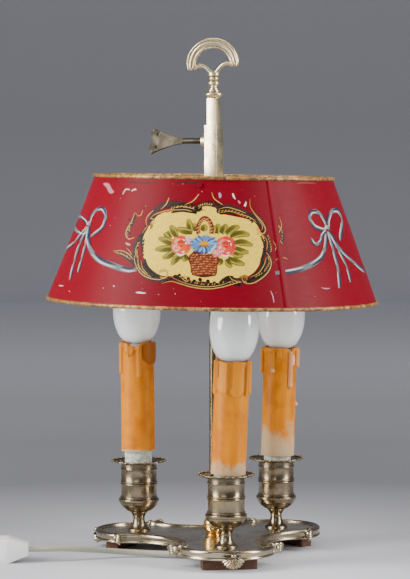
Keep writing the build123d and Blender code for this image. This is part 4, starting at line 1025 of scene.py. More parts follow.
# The moulding's section: inset from the tray's edge and height, in millimetres
BORDER_SECTION = (
    (1.2, 8.5), (0.4, 8.7), (0.0, 9.4), (0.2, 10.1), (0.9, 10.5), (1.0, 11.2), (0.8, 12.0),
    (0.2, 12.7), (0.0, 13.5), (0.2, 14.5), (0.9, 15.3), (1.8, 15.5), (2.5, 15.1), (2.8, 14.45),
    (3.2, 14.5), (3.6, 15.0), (4.2, 15.15), (4.8, 14.9), (5.05, 14.3), (5.05, 13.8), (2.25, 13.8),
    (2.25, 8.5),
)


MOUNT_HEIGHT = 12.4 * MM
SHELL_LENGTH = 10.0 * MM
SHELL_HALF = 68.0
KNUCKLE = Vector((0, 0.2 * MM, 2.2 * MM))


def facing(turn, reach):
    """A mount's plane: across, up and outwards, on the border at an azimuth."""
    out, across = compass(turn), compass(turn + 90)
    axes = Matrix((across, UP, out)).transposed().to_4x4()
    return Matrix.Translation(compass(turn, reach, MOUNT_HEIGHT)) @ axes


def shell_surface(turn):
    """A cast scallop that hangs over the border, ribbed from its hinge to its lobed lip."""
    ribs, columns, levels = settings("metal").shell_ribs, 108, 10
    place, rows = facing(turn, LOBE_REACH), []
    for level in range(levels * 2 + 1):
        front = level <= levels
        share = level / levels if front else 2 - level / levels
        row = []
        for column in range(columns):
            across = 2 * column / (columns - 1) - 1
            lean = radians(SHELL_HALF * across)
            rib = 0.5 + 0.5 * cos(pi * ribs * across)
            reach = SHELL_LENGTH * share * (0.9 + 0.1 * rib * share) * (1 - 0.08 * across * across)
            proud = 0.9 + 1.9 * sin(pi * (0.12 + 0.8 * share)) + 0.75 * rib * sin(pi * share) ** 0.6
            proud = proud * (1 - 0.25 * across * across) if front else -2.6
            row.append(place @ Vector((reach * sin(lean), -reach * cos(lean), proud * MM)))
        rows.append(row)
    return rows_mesh(rows)


CURL_STEPS = 40
LEAVES = 4


def curl_surfaces(place, side):
    """Acanthus: a rolled tip and the leaves that fall back along the border from it."""
    roll, radii = [], []
    for share in (step / (CURL_STEPS - 1) for step in range(CURL_STEPS)):
        reach, angle = 3.7 - 2.9 * share, side * FULL_TURN * (0.05 + 1.4 * share)
        at = Vector((reach * cos(angle), reach * sin(angle), 1.4 + 2.2 * share))
        roll.append(place @ (at * MM))
        radii.append((1.25 - 0.55 * share) * MM)
    surfaces = [rod(roll, radii, 10), ball(place @ Vector((0, 0, 1.2 * MM)), 3.1 * MM)]
    for leaf_side in (1, -1):
        for leaf in range(LEAVES):
            length, lift = 6.6 - 0.7 * leaf, 2.3 - 1.7 * leaf
            points = []
            for t in (0, 0.2, 0.4, 0.6, 0.8, 1):
                across, up = leaf_side * (1.5 + length * t), lift + 1.3 * sin(pi * t) - 1.2 * t
                points.append(place @ (Vector((across, up, 1.9 - 2.3 * t * t)) * MM))
            path = smooth_path(points, 4)
            shares = [step / (len(path) - 1) for step in range(len(path))]
            swell = [(0.35 + 1.05 * sin(pi * (0.15 + 0.8 * share))) * MM for share in shares]
            surfaces.append(rod(path, swell, 10))
    return surfaces


class LAMP_OT_tray(bpy.types.Operator):
    """Finish the plated tray, its moulded border, its cast mounts and its cork feet"""

    bl_idname = "lamp.tray"
    bl_label = "Tray"

    def execute(self, context):
        dressed(finish(silver_plate), "base_tray")
        rows = [tray_line(inset * MM, height * MM) for inset, height in BORDER_SECTION]
        piece(
            "moulded_border", [rows_mesh(rows, close=True)], finish(silver_plate, 0.7),
            "lamp_base", ("tray_border",), crease=40,
        )
        cast, shells, curls = finish(silver_plate, 0.8), [], []
        for turn in (lobe * 360 / LOBES for lobe in range(LOBES)):
            shells += [shell_surface(turn), ball(facing(turn, LOBE_REACH) @ KNUCKLE, 2.1 * MM, 0.8)]
            for side in (-1, 1):
                corner = facing(turn + side * CORNER_TURN, LOBE_REACH - CORNER_INSET)
                curls += curl_surfaces(corner, side)
        for name, surfaces, node in (
            ("scallop_shells", shells, "shell_mounts"), ("leaf_curls", curls, "scroll_mounts"),
        ):
            piece(name, surfaces, cast, "lamp_base", (node,), crease=60)
        dressed(finish(cork), "foot_pads")
        dressed(finish(raw_brass), "post_nut", "cup_nuts")
        dressed(finish(plain_steel), "clip_screws")
        dressed(finish(block_plastic), "terminal_block", "cord_clip", "inner_leads")
        return {"FINISHED"}


# ---------------------------------------------------------------- post and handle
HANDLE_TURN = -22.0
HANDLE_TILT = 4.5
NECK_HEIGHT = 13.7 * MM
NECK_PROFILE = (
    (0, -10.5), (2, -10.5), (2, 0), (4.5, 0), (4.5, 0.6), (3.4, 1.3, 0.2), (2.5, 3.0, 0.15),
    (2.5, 3.8), (3.7, 4.6, 0.25), (4.1, 5.9, 0.25), (3.7, 7.3, 0.25), (2.3, 7.9), (3.4, 8.5, 0.25),
    (3.8, 9.6, 0.25), (3.3, 10.6, 0.25), (2.3, 11.1), (4.1, 11.4), (4.3, 12.4, 0.3), (4.2, 13.4),
    (3.4, 14.2, 0.25), (0, 14.6, 0.1),
)
# The band's section: the share of its breadth from the outer edge in, and how far it stands out
HANDLE_SECTION = (
    (0.0, 0.9), (0.02, 2.0), (0.07, 2.75), (0.13, 2.95), (0.19, 2.7), (0.23, 1.9), (0.29, 1.75),
    (0.36, 2.15), (0.46, 2.4), (0.56, 2.2), (0.64, 1.7), (0.7, 1.75), (0.75, 2.3), (0.82, 2.6),
    (0.9, 2.4), (0.97, 1.7), (1.0, 0.9),
)
HANDLE_ARM = ((14.9, 4.7), (11.6, 5.9), (8.2, 5.7), (5.2, 3.6), (2.7, 0.9), (1.5, -0.6))
# Stops round half of the arch: a point of its outer edge, one of its inner edge and its thickness
HANDLE_HALF = (
    ((17.2, 2.9), (17.0, 3.3), 0.15), ((18.6, 3.5), (15.6, 3.6), 0.75),
    ((19.7, 5.0), (13.9, 5.0), 0.95), ((20.0, 7.4), (12.7, 7.6), 1.0),
    ((19.5, 11.2), (11.9, 10.2), 1.0), ((17.8, 15.6), (10.2, 13.1), 1.0),
    ((14.4, 19.9), (7.9, 15.6), 1.0), ((10.0, 23.2), (5.3, 17.1), 1.0),
    ((5.2, 25.1), (2.7, 17.8), 1.0),
)
HANDLE_CROWN = ((0, 25.7), (0, 18.0), 1.0)


def handle_plane():
    """The handle's own plane: across, up and out, from the top of its neck."""
    out = compass(HANDLE_TURN)
    across = compass(HANDLE_TURN + 90) * cos(radians(HANDLE_TILT)) + UP * sin(radians(HANDLE_TILT))
    turn = Matrix((across, out.cross(across), out)).transposed().to_4x4()
    return Matrix.Translation(UP * (high("finial_collar").z + NECK_HEIGHT)) @ turn


def handle_band():
    """Rings of points across the handle's arched band, which curls in to rounded toes."""
    other_half = [((-o[0], o[1]), (-i[0], i[1]), thick) for o, i, thick in HANDLE_HALF[::-1]]
    stops = [*HANDLE_HALF, HANDLE_CROWN, *other_half]
    outer, inner = (smooth_path([(*stop[k], 0) for stop in stops], 5) for k in (0, 1))
    thick = smooth_path([(stop[2], 0, 0) for stop in stops], 5)
    rings = []
    for o, i, t in zip(outer, inner, thick):
        front = [o.lerp(i, share) + UP * proud * t.x for share, proud in HANDLE_SECTION]
        back = [o.lerp(i, share) - UP * proud * t.x for share, proud in HANDLE_SECTION[::-1]]
        rings.append(front + back)
    first, last = ([sum(ring, Vector()) / len(ring)] * len(ring) for ring in (rings[0], rings[-1]))
    return [first, *rings, last]


KNOP_SWELL = 1.12
# The knop's stops: a share of its radius, a height in millimetres and perhaps a bow
KNOP_STOPS = (
    (0.72, 0.0), (0.75, 0.7), (0.55, 1.2), (0.98, 6.6, 0.38), (1.03, 6.9), (1.03, 7.9), (0.98, 8.2),
    (0.5, 13.2, 0.38),
)
KNOP_TOP = 13.6 * MM


def knop_surface():
    foot, knop_r = low("centre_knop").z, high("centre_knop").x * KNOP_SWELL
    rod_r, top = high("post_rod").x, foot + KNOP_TOP
    stops = [(knop_r * share, foot + up * MM, *bow) for share, up, *bow in KNOP_STOPS]
    stops = [(rod_r, foot), *stops, (rod_r * 1.1, top, 0.1), (rod_r, top)]
    return turned(outline(*stops, steps=14))


class LAMP_OT_post(bpy.types.Operator):
    """Finish the post, its knop, the collar and the carrying handle"""

    bl_idname = "lamp.post"
    bl_label = "Post and handle"

    def execute(self, context):
        # A lighter plate for the parts above the shade, partly painted light
        bright = finish(polished_and_lit_silver)
        piece(
            "brass_knop", [knop_surface()], finish(raw_brass), "lamp_base",
            ("centre_knop",), crease=50,
        )
        # The rod's plate is taken darker than old tarnish, as painted shade where it stands under the
        # shade
        softened("post_rod", finish(silver_plate, 1.3), "lamp_base")
        softened("post_bar", bright, "lamp_base", 0.35 * MM)
        softened("finial_collar", bright, "lamp_base")
        plane = handle_plane()
        surfaces = [rows_mesh([[plane @ (point * MM) for point in ring] for ring in handle_band()])]
        for side in (1, -1):
            stops = [plane @ (Vector((side * across, up, 0)) * MM) for across, up in HANDLE_ARM]
            path = smooth_path(stops, 6)
            last = len(path) - 1
            radii = [(1.75 - 0.35 * sin(pi * step / last)) * MM for step in range(last + 1)]
            surfaces.append(rod(path, radii, 14))
        neck = Matrix.Translation(UP * high("finial_collar").z)
        surfaces.append(turned(profile_mm(NECK_PROFILE), neck, 48))
        piece(
            "handle_and_neck", surfaces, bright, "lamp_base", ("carrying_handle",),
            crease=46,
        )
        return {"FINISHED"}


# ---------------------------------------------------------------- candle lights
CUP_REACH = hypot(*middle("candle_cup_front").xy)
# Profiles: radius and height in millimetres, and perhaps a bow
CUP_PROFILE = (
    (3.05, 0), (8.5, 0), (8.5, 0.8), (8.0, 1.3), (5.0, 4.9, -0.22), (4.35, 8.4, -0.05),
    (4.5, 10.4, -0.08), (6.6, 13.6, -0.12), (6.7, 14.2), (11.4, 16.6, 0.16), (14.6, 21.6, 0.2),
    (15.2, 22.1, 0.2), (15.25, 23.5), (14.7, 24.2, 0.3), (13.8, 24.5), (13.75, 25.0, 0.4),
    (13.9, 25.9, 0.6), (13.4, 26.2), (13.3, 34.5), (13.45, 34.7), (13.45, 35.9, 0.8), (13.35, 36.1),
    (13.45, 36.3), (13.45, 37.5, 0.8), (13.3, 37.8), (13.3, 45.9), (13.4, 46.1), (13.4, 47.3, 0.8),
    (13.35, 47.6), (13.4, 50.5), (12.6, 50.5), (12.6, 19.0), (3.05, 19.0), (3.05, 0),
)
PAN_PROFILE = (
    (11.8, -5.0), (12.5, -5.0), (12.5, -0.3), (13.6, 0.0), (17.0, 0.3), (19.6, 1.2, -0.08),
    (20.6, 1.8, -0.1), (20.7, 2.4, 0.5), (19.8, 2.5, 0.3), (18.4, 1.7, -0.1), (15.5, 1.1, -0.05),
    (11.8, 0.9), (11.8, -5.0),
)
CUP_HEIGHT = 50.5
PAN_SCALLOPS = 20
PAN_FLAT_R = 18.8
SCALLOP_DEEP = 0.28
PEARL_R = 0.85
PEARL_REACH = 19.9
PEARL_UP = 2.35


def profile_mm(stops, steps=6):
    return [point * MM for point in outline(*stops, steps=steps)]


def pearl_ring():
    """A node tree that sets pearls round a ring: count, ring radius, pearl radius, material."""
    tree = bpy.data.node_groups.new("pearl_ring", "GeometryNodeTree")
    for label, kind, default in (
        ("Pearls", "NodeSocketInt", 24),
        ("Ring radius", "NodeSocketFloat", PEARL_REACH * MM),
        ("Pearl radius", "NodeSocketFloat", PEARL_R * MM),
        ("Material", "NodeSocketMaterial", None),
    ):
        socket = tree.interface.new_socket(label, in_out="INPUT", socket_type=kind)
        if default is not None:
            socket.default_value = default
    tree.interface.new_socket("Geometry", in_out="OUTPUT", socket_type="NodeSocketGeometry")
    given, end = tree.nodes.new("NodeGroupInput"), tree.nodes.new("NodeGroupOutput")
    ring = tree.nodes.new("GeometryNodeMeshCircle")
    pearl = tree.nodes.new("GeometryNodeMeshIcoSphere")
    pearl.inputs["Subdivisions"].default_value = 3
    spread = tree.nodes.new("GeometryNodeInstanceOnPoints")
    real = tree.nodes.new("GeometryNodeRealizeInstances")
    smooth = tree.nodes.new("GeometryNodeSetShadeSmooth")
    dress = tree.nodes.new("GeometryNodeSetMaterial")
    for start, label, node, socket in (
        (given, "Pearls", ring, "Vertices"),
        (given, "Ring radius", ring, "Radius"),
        (given, "Pearl radius", pearl, "Radius"),
        (ring, "Mesh", spread, "Points"),
        (pearl, "Mesh", spread, "Instance"),
        (spread, "Instances", real, "Geometry"),
        (real, "Geometry", smooth, "Geometry"),
        (smooth, "Geometry", dress, "Geometry"),
        (given, "Material", dress, "Material"),
        (dress, "Geometry", end, "Geometry"),
    ):
        tree.links.new(start.outputs[label], node.inputs[socket])
    return tree


def grown(name, tree, values, place, body):
    """What a node tree makes, as a plain mesh set in its place."""
    holder = link(name, bpy.data.meshes.new(f"{name}_seed"))
    maker = holder.modifiers.new("maker", "NODES")
    maker.node_group = tree
    for item in tree.interface.items_tree:
        if item.in_out == "INPUT":
            maker[item.identifier] = values[item.name]
    plain_mesh(holder).transform(place)
    return settle(holder, body)


def scallop(angle, radius, height):
    """Waves the outer part of a drip pan in and out."""
    share = max(0.0, (radius / MM - PAN_FLAT_R) / 2)
    return radius + SCALLOP_DEEP * MM * share * cos(PAN_SCALLOPS * angle), height


class LAMP_OT_cups(bpy.types.Operator):
    """Turn the candle cups and their drip pans, and set the pearls round the pans"""

    bl_idname = "lamp.cups"
    bl_label = "Cups and drip pans"

    def execute(self, context):
        silver, tree = finish(silver_plate, 1.1), pearl_ring()
        values = {
            "Pearls": settings("metal").pearls,
            "Ring radius": PEARL_REACH * MM,
            "Pearl radius": PEARL_R * MM,
            "Material": silver,
        }
        for name, azimuth in CANDLES.items():
            foot = Matrix.Translation(compass(azimuth, CUP_REACH, TRAY_TOP))
            top = foot @ Matrix.Translation(UP * CUP_HEIGHT * MM)
            piece(
                f"cup_{name}", [turned(profile_mm(CUP_PROFILE), foot, 96)], silver, "lamp_base",
                (f"candle_cup_{name}",), crease=50,
            )
            piece(
                f"pan_{name}", [turned(profile_mm(PAN_PROFILE, 5), top, 160, scallop)], silver,
                "lamp_base", (f"drip_pan_{name}",), crease=50,
            )
            on_pan = top @ Matrix.Translation(UP * PEARL_UP * MM)
            grown(f"pearls_{name}", tree, values, on_pan, "lamp_base")
            dressed(finish(raw_brass), f"clamp_bolt_{name}", f"socket_contacts_{name}")
            dressed(finish(dull_zinc), f"inner_tube_{name}")
            dressed(finish(porcelain), f"lampholder_{name}")
        return {"FINISHED"}


# Wax runs: turn from the viewer's side, half width, length and stand-out in millimetres, and how
# burnt the wax is, or how pale where it is below 0
RUNS = {
    "left": (
        (-69, 2.6, 24.0, 1.6, 0.1), (9, 2.0, 25.5, 1.9, 0.3), (-28, 0.9, 9.0, 0.9, 0.5),
        (60, 9.4, 17.0, 1.8, 0.75), (-30, 5.0, 8.0, 0.9, 0.0), (150, 3.2, 20.0, 1.4, 0.0),
        (-130, 4.2, 13.0, 1.2, 0.0),
    ),
    "front": (
        (-76, 4.2, 25.0, 1.2, 0.0), (-34, 7.0, 23.5, 0.6, 0.0), (-50, 0.7, 12.5, 1.2, 0.5),
        (-17, 1.3, 23.0, 1.4, 0.1), (52, 1.7, 25.0, 1.7, 0.1), (16, 7.0, 26.0, 0.55, 0.0),
        (78, 4.6, 24.0, 1.6, 0.0), (150, 3.0, 20.0, 1.3, 0.0), (-140, 4.4, 15.0, 1.1, 0.0),
    ),
    "right": (
        (-86, 2.6, 20.0, 2.3, 0.0), (-26, 1.6, 18.5, 1.3, 0.0), (-3, 2.4, 8.0, 0.9, 0.0),
        (37, 1.8, 28.0, 1.9, -0.3), (80, 3.4, 15.0, 2.3, -0.2), (140, 3.6, 18.0, 1.4, 0.0),
        (-135, 2.6, 24.0, 1.5, 0.0),
    ),
}
# Drops and pale spots: turn, depth below the rim and size. Notches: turn, half width and depth
DROPS = {"right": ((-26, 17.2, 1.5), (37, 26.6, 1.9), (82, 43.0, 1.5))}
PALE_SPOTS = {"right": ((54, 9.5, 2.2),)}
NOTCHES = {"left": (-8, 8.0, 3.2), "front": (-18, 5.0, 1.0), "right": (36, 3.2, 2.6)}
# How far up each sleeve is rubbed bare
WEAR = {"front": 13.0, "right": 30.0, "left": 3.0}
SHEATH = 3.4
SHEATH_THICK = 0.75
BROAD_RUN = 5
# How dark the painted shade along each run's edges is, and how pale the drops and the pale spots are
RUN_EDGE_SHADE, DROP_BURN, SPOT_BURN = 0.42, -0.4, -0.9
SLEEVE_R = 12.6
SLEEVE_BORE_R = 11.3
SLEEVE_SIDES = 180
SLEEVE_LEVELS = 116


def off_turn(view, turn):
    """How far round a sleeve, in millimetres, one direction lies from another."""
    return radians((view - turn + 180) % 360 - 180) * SLEEVE_R


def wax_at(name, view, deep, ragged):
    """How far the wax stands out at a point of a sleeve, and how burnt or pale it is there, with
    painted shade along the edges of its runs.
    """
    # The dipped rim is a thin collar all round
    collar = (SHEATH + 1.6 * ragged - deep) / 1.1
    proud, burn_and_shade = SHEATH_THICK * min(1.0, max(0.0, collar)) ** 0.5, 0.0
    for turn, half, length, thick, scorched in RUNS[name]:
        off, half_here = abs(off_turn(view, turn)), half
        if deep > length - half:
            half_here = half * sqrt(max(0.0, 1 - ((deep - length + half) / half) ** 2))
        # Painted shade along both edges of each run, where its raised wax shades the card
        if 0.72 * half_here < off < 1.12 * half_here:
            burn_and_shade = max(burn_and_shade, RUN_EDGE_SHADE)
        if off < half_here:
            dome = (1 - (off / half_here) ** 2) ** (0.32 if half > BROAD_RUN else 0.5)
            proud = max(proud, thick * dome * min(1.0, half_here / half * 1.6))
            burn_and_shade = scorched if scorched < 0 else max(burn_and_shade, scorched)
    for turn, drop_deep, size in DROPS.get(name, ()):
        gap = hypot(off_turn(view, turn), (deep - drop_deep) * 0.8)
        if gap < size:
            proud, burn_and_shade = max(proud, 1.25 * size * sqrt(1 - (gap / size) ** 2)), DROP_BURN
    for turn, spot_deep, size in PALE_SPOTS.get(name, ()):
        if hypot(off_turn(view, turn), (deep - spot_deep) * 0.5) < size * (1 + 0.3 * ragged):
            burn_and_shade = SPOT_BURN
    return proud, burn_and_shade


def sleeve_rows(name, place, low_end, high_end):
    """The waxed card: a fine grid that swells where wax has run down it, then its plain bore."""
    notch_turn, notch_half, notch_deep = NOTCHES[name]
    columns, rows, tints = [], [], []
    for step in range(SLEEVE_SIDES):
        view = 360 * step / SLEEVE_SIDES - 180
        turn = radians(view)
        ragged = noise.noise(Vector((cos(turn) * 3, sin(turn) * 3, len(name))))
        cut = notch_deep * max(0.0, 1 - abs(off_turn(view, notch_turn)) / notch_half)
        columns.append((view, ragged, high_end - (cut + 0.45 + 0.4 * ragged) * MM))

    def point(view, top, reach, share):
        angle, height = radians(CAMERA_AZIMUTH + view - CANDLES[name]), top + (low_end - top) * share
        return place @ Vector((reach * MM * cos(angle), reach * MM * sin(angle), height))

    for level in range(SLEEVE_LEVELS + 1):
        share, row = level / SLEEVE_LEVELS, []
        deep = share * (high_end - low_end) / MM
        edge = 0.5 * max(0.0, 1 - deep / 0.6)
        for view, ragged, top in columns:
            proud, burn_and_shade = wax_at(name, view, deep, ragged)
            at = Vector((radians(view) * SLEEVE_R * 0.16, deep * 0.05, len(name) * 3.0))
            reach = SLEEVE_R + proud + 0.1 * noise.noise(at) - edge
            row.append(point(view, top, reach, share))
            tints.append((max(0.0, burn_and_shade), max(0.0, -burn_and_shade), min(1.0, proud / 0.5)))
        rows.append(row)
    for share in (1.0, 0.5, 0.0):
        rows.append([point(view, top, SLEEVE_BORE_R, share) for view, _, top in columns])
        tints += [(0, 0, 0)] * SLEEVE_SIDES
    return rows, tints


BULB_PROFILE = (
    (6.75, 0.0), (9.3, 0.8), (12.6, 4.0), (15.3, 9.0), (17.1, 15.2), (17.9, 22.0), (17.9, 28.6),
    (17.3, 35.6), (16.0, 43.2), (13.9, 50.2), (11.6, 55.6), (9.2, 60.6), (6.5, 66.2), (3.9, 70.8),
    (1.8, 73.2), (0.0, 74.0),
)
BULB_SIDES = 96
GLASS_WALL = 0.9 * MM
GLASS_INSIDE = 73.0 * MM


def bulb_surface(name, place):
    """The glass: an outer skin and an inner one that meet at the neck."""
    foot, _ = extent(f"bulb_glass_{name}", place)
    path = smooth_path([(r * MM, foot + z * MM, 0) for r, z in BULB_PROFILE], 5)
    outer = [(max(at.x, 0), at.y) for at in path]
    inner = [(max(at.x - GLASS_WALL, 0), min(at.y, foot + GLASS_INSIDE)) for at in path[::-1]]
    (points, faces), (inner_points, inner_faces) = (
        turned(profile, place, BULB_SIDES) for profile in (outer, inner)
    )
    count = len(points)
    points, last = points + inner_points, count + len(inner_points) - BULB_SIDES
    faces += [tuple(count + corner for corner in face) for face in inner_faces]
    for step in range(BULB_SIDES):
        beside = (step + 1) % BULB_SIDES
        faces.append((step, beside, last + beside, last + step))
    return points, faces


class LAMP_OT_candles(bpy.types.Operator):
    """Dip the candle sleeves in wax and fit the bulbs"""

    bl_idname = "lamp.candles"
    bl_label = "Candles and bulbs"

    def execute(self, context):
        for name in CANDLES:
            place = seat(name)
            rows, tints = sleeve_rows(name, place, *extent(f"candle_sleeve_{name}", place))
            mesh = coloured_mesh(f"candle_{name}", *rows_mesh(rows, close=True), "scorch", tints)
            tidy_mesh(mesh, 60)
            mesh.materials.append(finish(wax, name, WEAR[name] * MM, len(name)))
            sleeve = link(f"candle_{name}", mesh)
            settle(sleeve, "lamp_base", (f"candle_sleeve_{name}",))
            piece(
                f"bulb_{name}", [bulb_surface(name, place)], finish(opal_glass), f"bulb_{name}",
                (f"bulb_glass_{name}",), crease=60,
            )
            dressed(finish(thread_aluminium), f"bulb_cap_{name}")
        return {"FINISHED"}


# ---------------------------------------------------------------- shade
SHADE_LEAN = radians(0.95)
SHADE_LIFT = 0.7 * MM
SHADE_SHEET = 0.75 * MM
SHADE_LEVELS = 44
EDGE_ROOM = 0.6 * MM
SEAM_TURN = 17.5
SEAM_HALF = 1.5
SEAM_PROUD = 0.6 * MM
SEAM_STEPS = 14
SHADE_PIVOT = UP * (high("shade_spider").z - 7.4 * MM)
RIM_SIDES = 16


def askew():
    """The shade's slight lean on its worn carriage, down to the right as seen from in front."""
    there = Matrix.Translation(SHADE_PIVOT)
    lifted = Matrix.Translation(UP * SHADE_LIFT) @ there
    return lifted @ Matrix.Rotation(-SHADE_LEAN, 4, compass(CAMERA_AZIMUTH)) @ there.inverted()


def cone_r(height):
    return SHADE_BOTTOM_R - SHADE_SLOPE * (height - SHADE_BOTTOM)


def dent(azimuth, height):
    """How far the hand-rolled sheet stands off a true cone."""
    turn = radians(azimuth)
    at = Vector((2.2 * cos(turn), 2.2 * sin(turn), height / (70 * MM)))
    return settings("shade").dents * (noise.noise(at) + 0.35 * noise.noise(at * 2.7))


def seam(azimuth):
    """How far the lap of the sheet's seam stands proud: a step up, then a slope back down."""
    off = (azimuth - SEAM_TURN + 180) % 360 - 180
    if abs(off) > SEAM_HALF:
        return 0.0
    share = (off + SEAM_HALF) / (2 * SEAM_HALF)
    return SEAM_PROUD * min(1.0, share * 5) * (1 - max(0.0, share - 0.55) / 0.45) ** 0.7


def on_sheet(azimuth, height, lift=0.0):
    """A point over the leaning sheet."""
    return askew() @ compass(azimuth, cone_r(height) + dent(azimuth, height) + lift, height)


def shade_skin_rows():
    """The sheet outside, from the bottom up, and then inside, with close steps at the seam."""
    start, end = SEAM_TURN + SEAM_HALF, SEAM_TURN - SEAM_HALF + 360
    turns = [start + 1 + step for step in range(360) if start + 1 + step < end - 0.5]
    shares = [2.3 * step / SEAM_STEPS - 1.15 for step in range(SEAM_STEPS + 1)]
    turns += [SEAM_TURN + 360 + SEAM_HALF * share for share in shares]
    low_edge, high_edge = SHADE_BOTTOM + EDGE_ROOM, SHADE_TOP - EDGE_ROOM
    heights = [
        low_edge + (high_edge - low_edge) * step / SHADE_LEVELS for step in range(SHADE_LEVELS + 1)
    ]
    outside = [[on_sheet(turn, height, seam(turn)) for turn in turns] for height in heights]
    heights = heights[::-1]
    return outside + [[on_sheet(turn, height, -SHADE_SHEET) for turn in turns] for height in heights]


def rim_rows(height, radius, wire_r):
    """A rim rolled round a wire, a little uneven."""
    lean, rows = askew(), []
    for around in (FULL_TURN * step / RIM_SIDES for step in range(RIM_SIDES)):
        row = []
        for turn in range(360):
            at = Vector((cos(radians(turn)), sin(radians(turn)), height * 9)) * 9
            thick = wire_r * (1 + 0.1 * noise.noise(at))
            reach = radius - thick * cos(around)
            row.append(lean @ compass(turn, reach, height + thick * sin(around)))
        rows.append(row)
    return rows


# ---------------------------------------------------------------- painted ornament
SHEET_LAYER = 0.06 * MM
DRAWING_CENTRE = (205.0, 289.5)
DRAWING_ZERO = (110.0, 190.0)
DRAWING_STEPS = 9.224
DRAWING_REACH = 2546.0
DRAWING_UNIT = 0.0808 * MM
# How far along a line of sight the search for the shade starts, and how often it halves
SHORT_OF_SHADE = 1.6
SEARCH_STEPS = 28
WEAVE_ROWS, WEAVE_COLUMNS, STAKES = 9, 9, 8
PETALS = 30


def rgb(red, green, blue):
    return tuple((channel / 255) ** 2.2 for channel in (red, green, blue))


def dots(text):
    return [tuple(float(number) for number in pair.split(",")) for pair in text.split()]


DARK, SOOT, SHADOW = (0.004, 0.002, 0.0015), (0.014, 0.007, 0.007), (0.045, 0.017, 0.022)
GOLD, PALE_GOLD, OCHRE = (0.5, 0.24, 0.03), (0.8, 0.5, 0.12), (0.28, 0.13, 0.008)
CREAM, STRAW = (1.0, 0.7, 0.07), (0.86, 0.5, 0.07)
LEAF, DARK_LEAF, PALE_LEAF = (0.17, 0.15, 0.008), (0.06, 0.055, 0.004), (0.38, 0.3, 0.03)
CORAL, ROSE = (0.95, 0.12, 0.03), (0.9, 0.07, 0.045)
BLUSH, EMBER = (1.0, 0.5, 0.36), (0.68, 0.02, 0.008)
BLUE, SKY, NAVY = (0.02, 0.12, 0.42), (0.22, 0.42, 0.72), (0.003, 0.01, 0.1)
YOLK, WICKER = (0.76, 0.33, 0.004), (0.3, 0.05, 0.012)
DARK_WICKER, PALE_WICKER = (0.08, 0.009, 0.003), (0.74, 0.3, 0.11)
RIBBON, RIBBON_SHADE, RIBBON_LIGHT = (0.13, 0.17, 0.19), (0.006, 0.018, 0.06), (0.6, 0.62, 0.56)


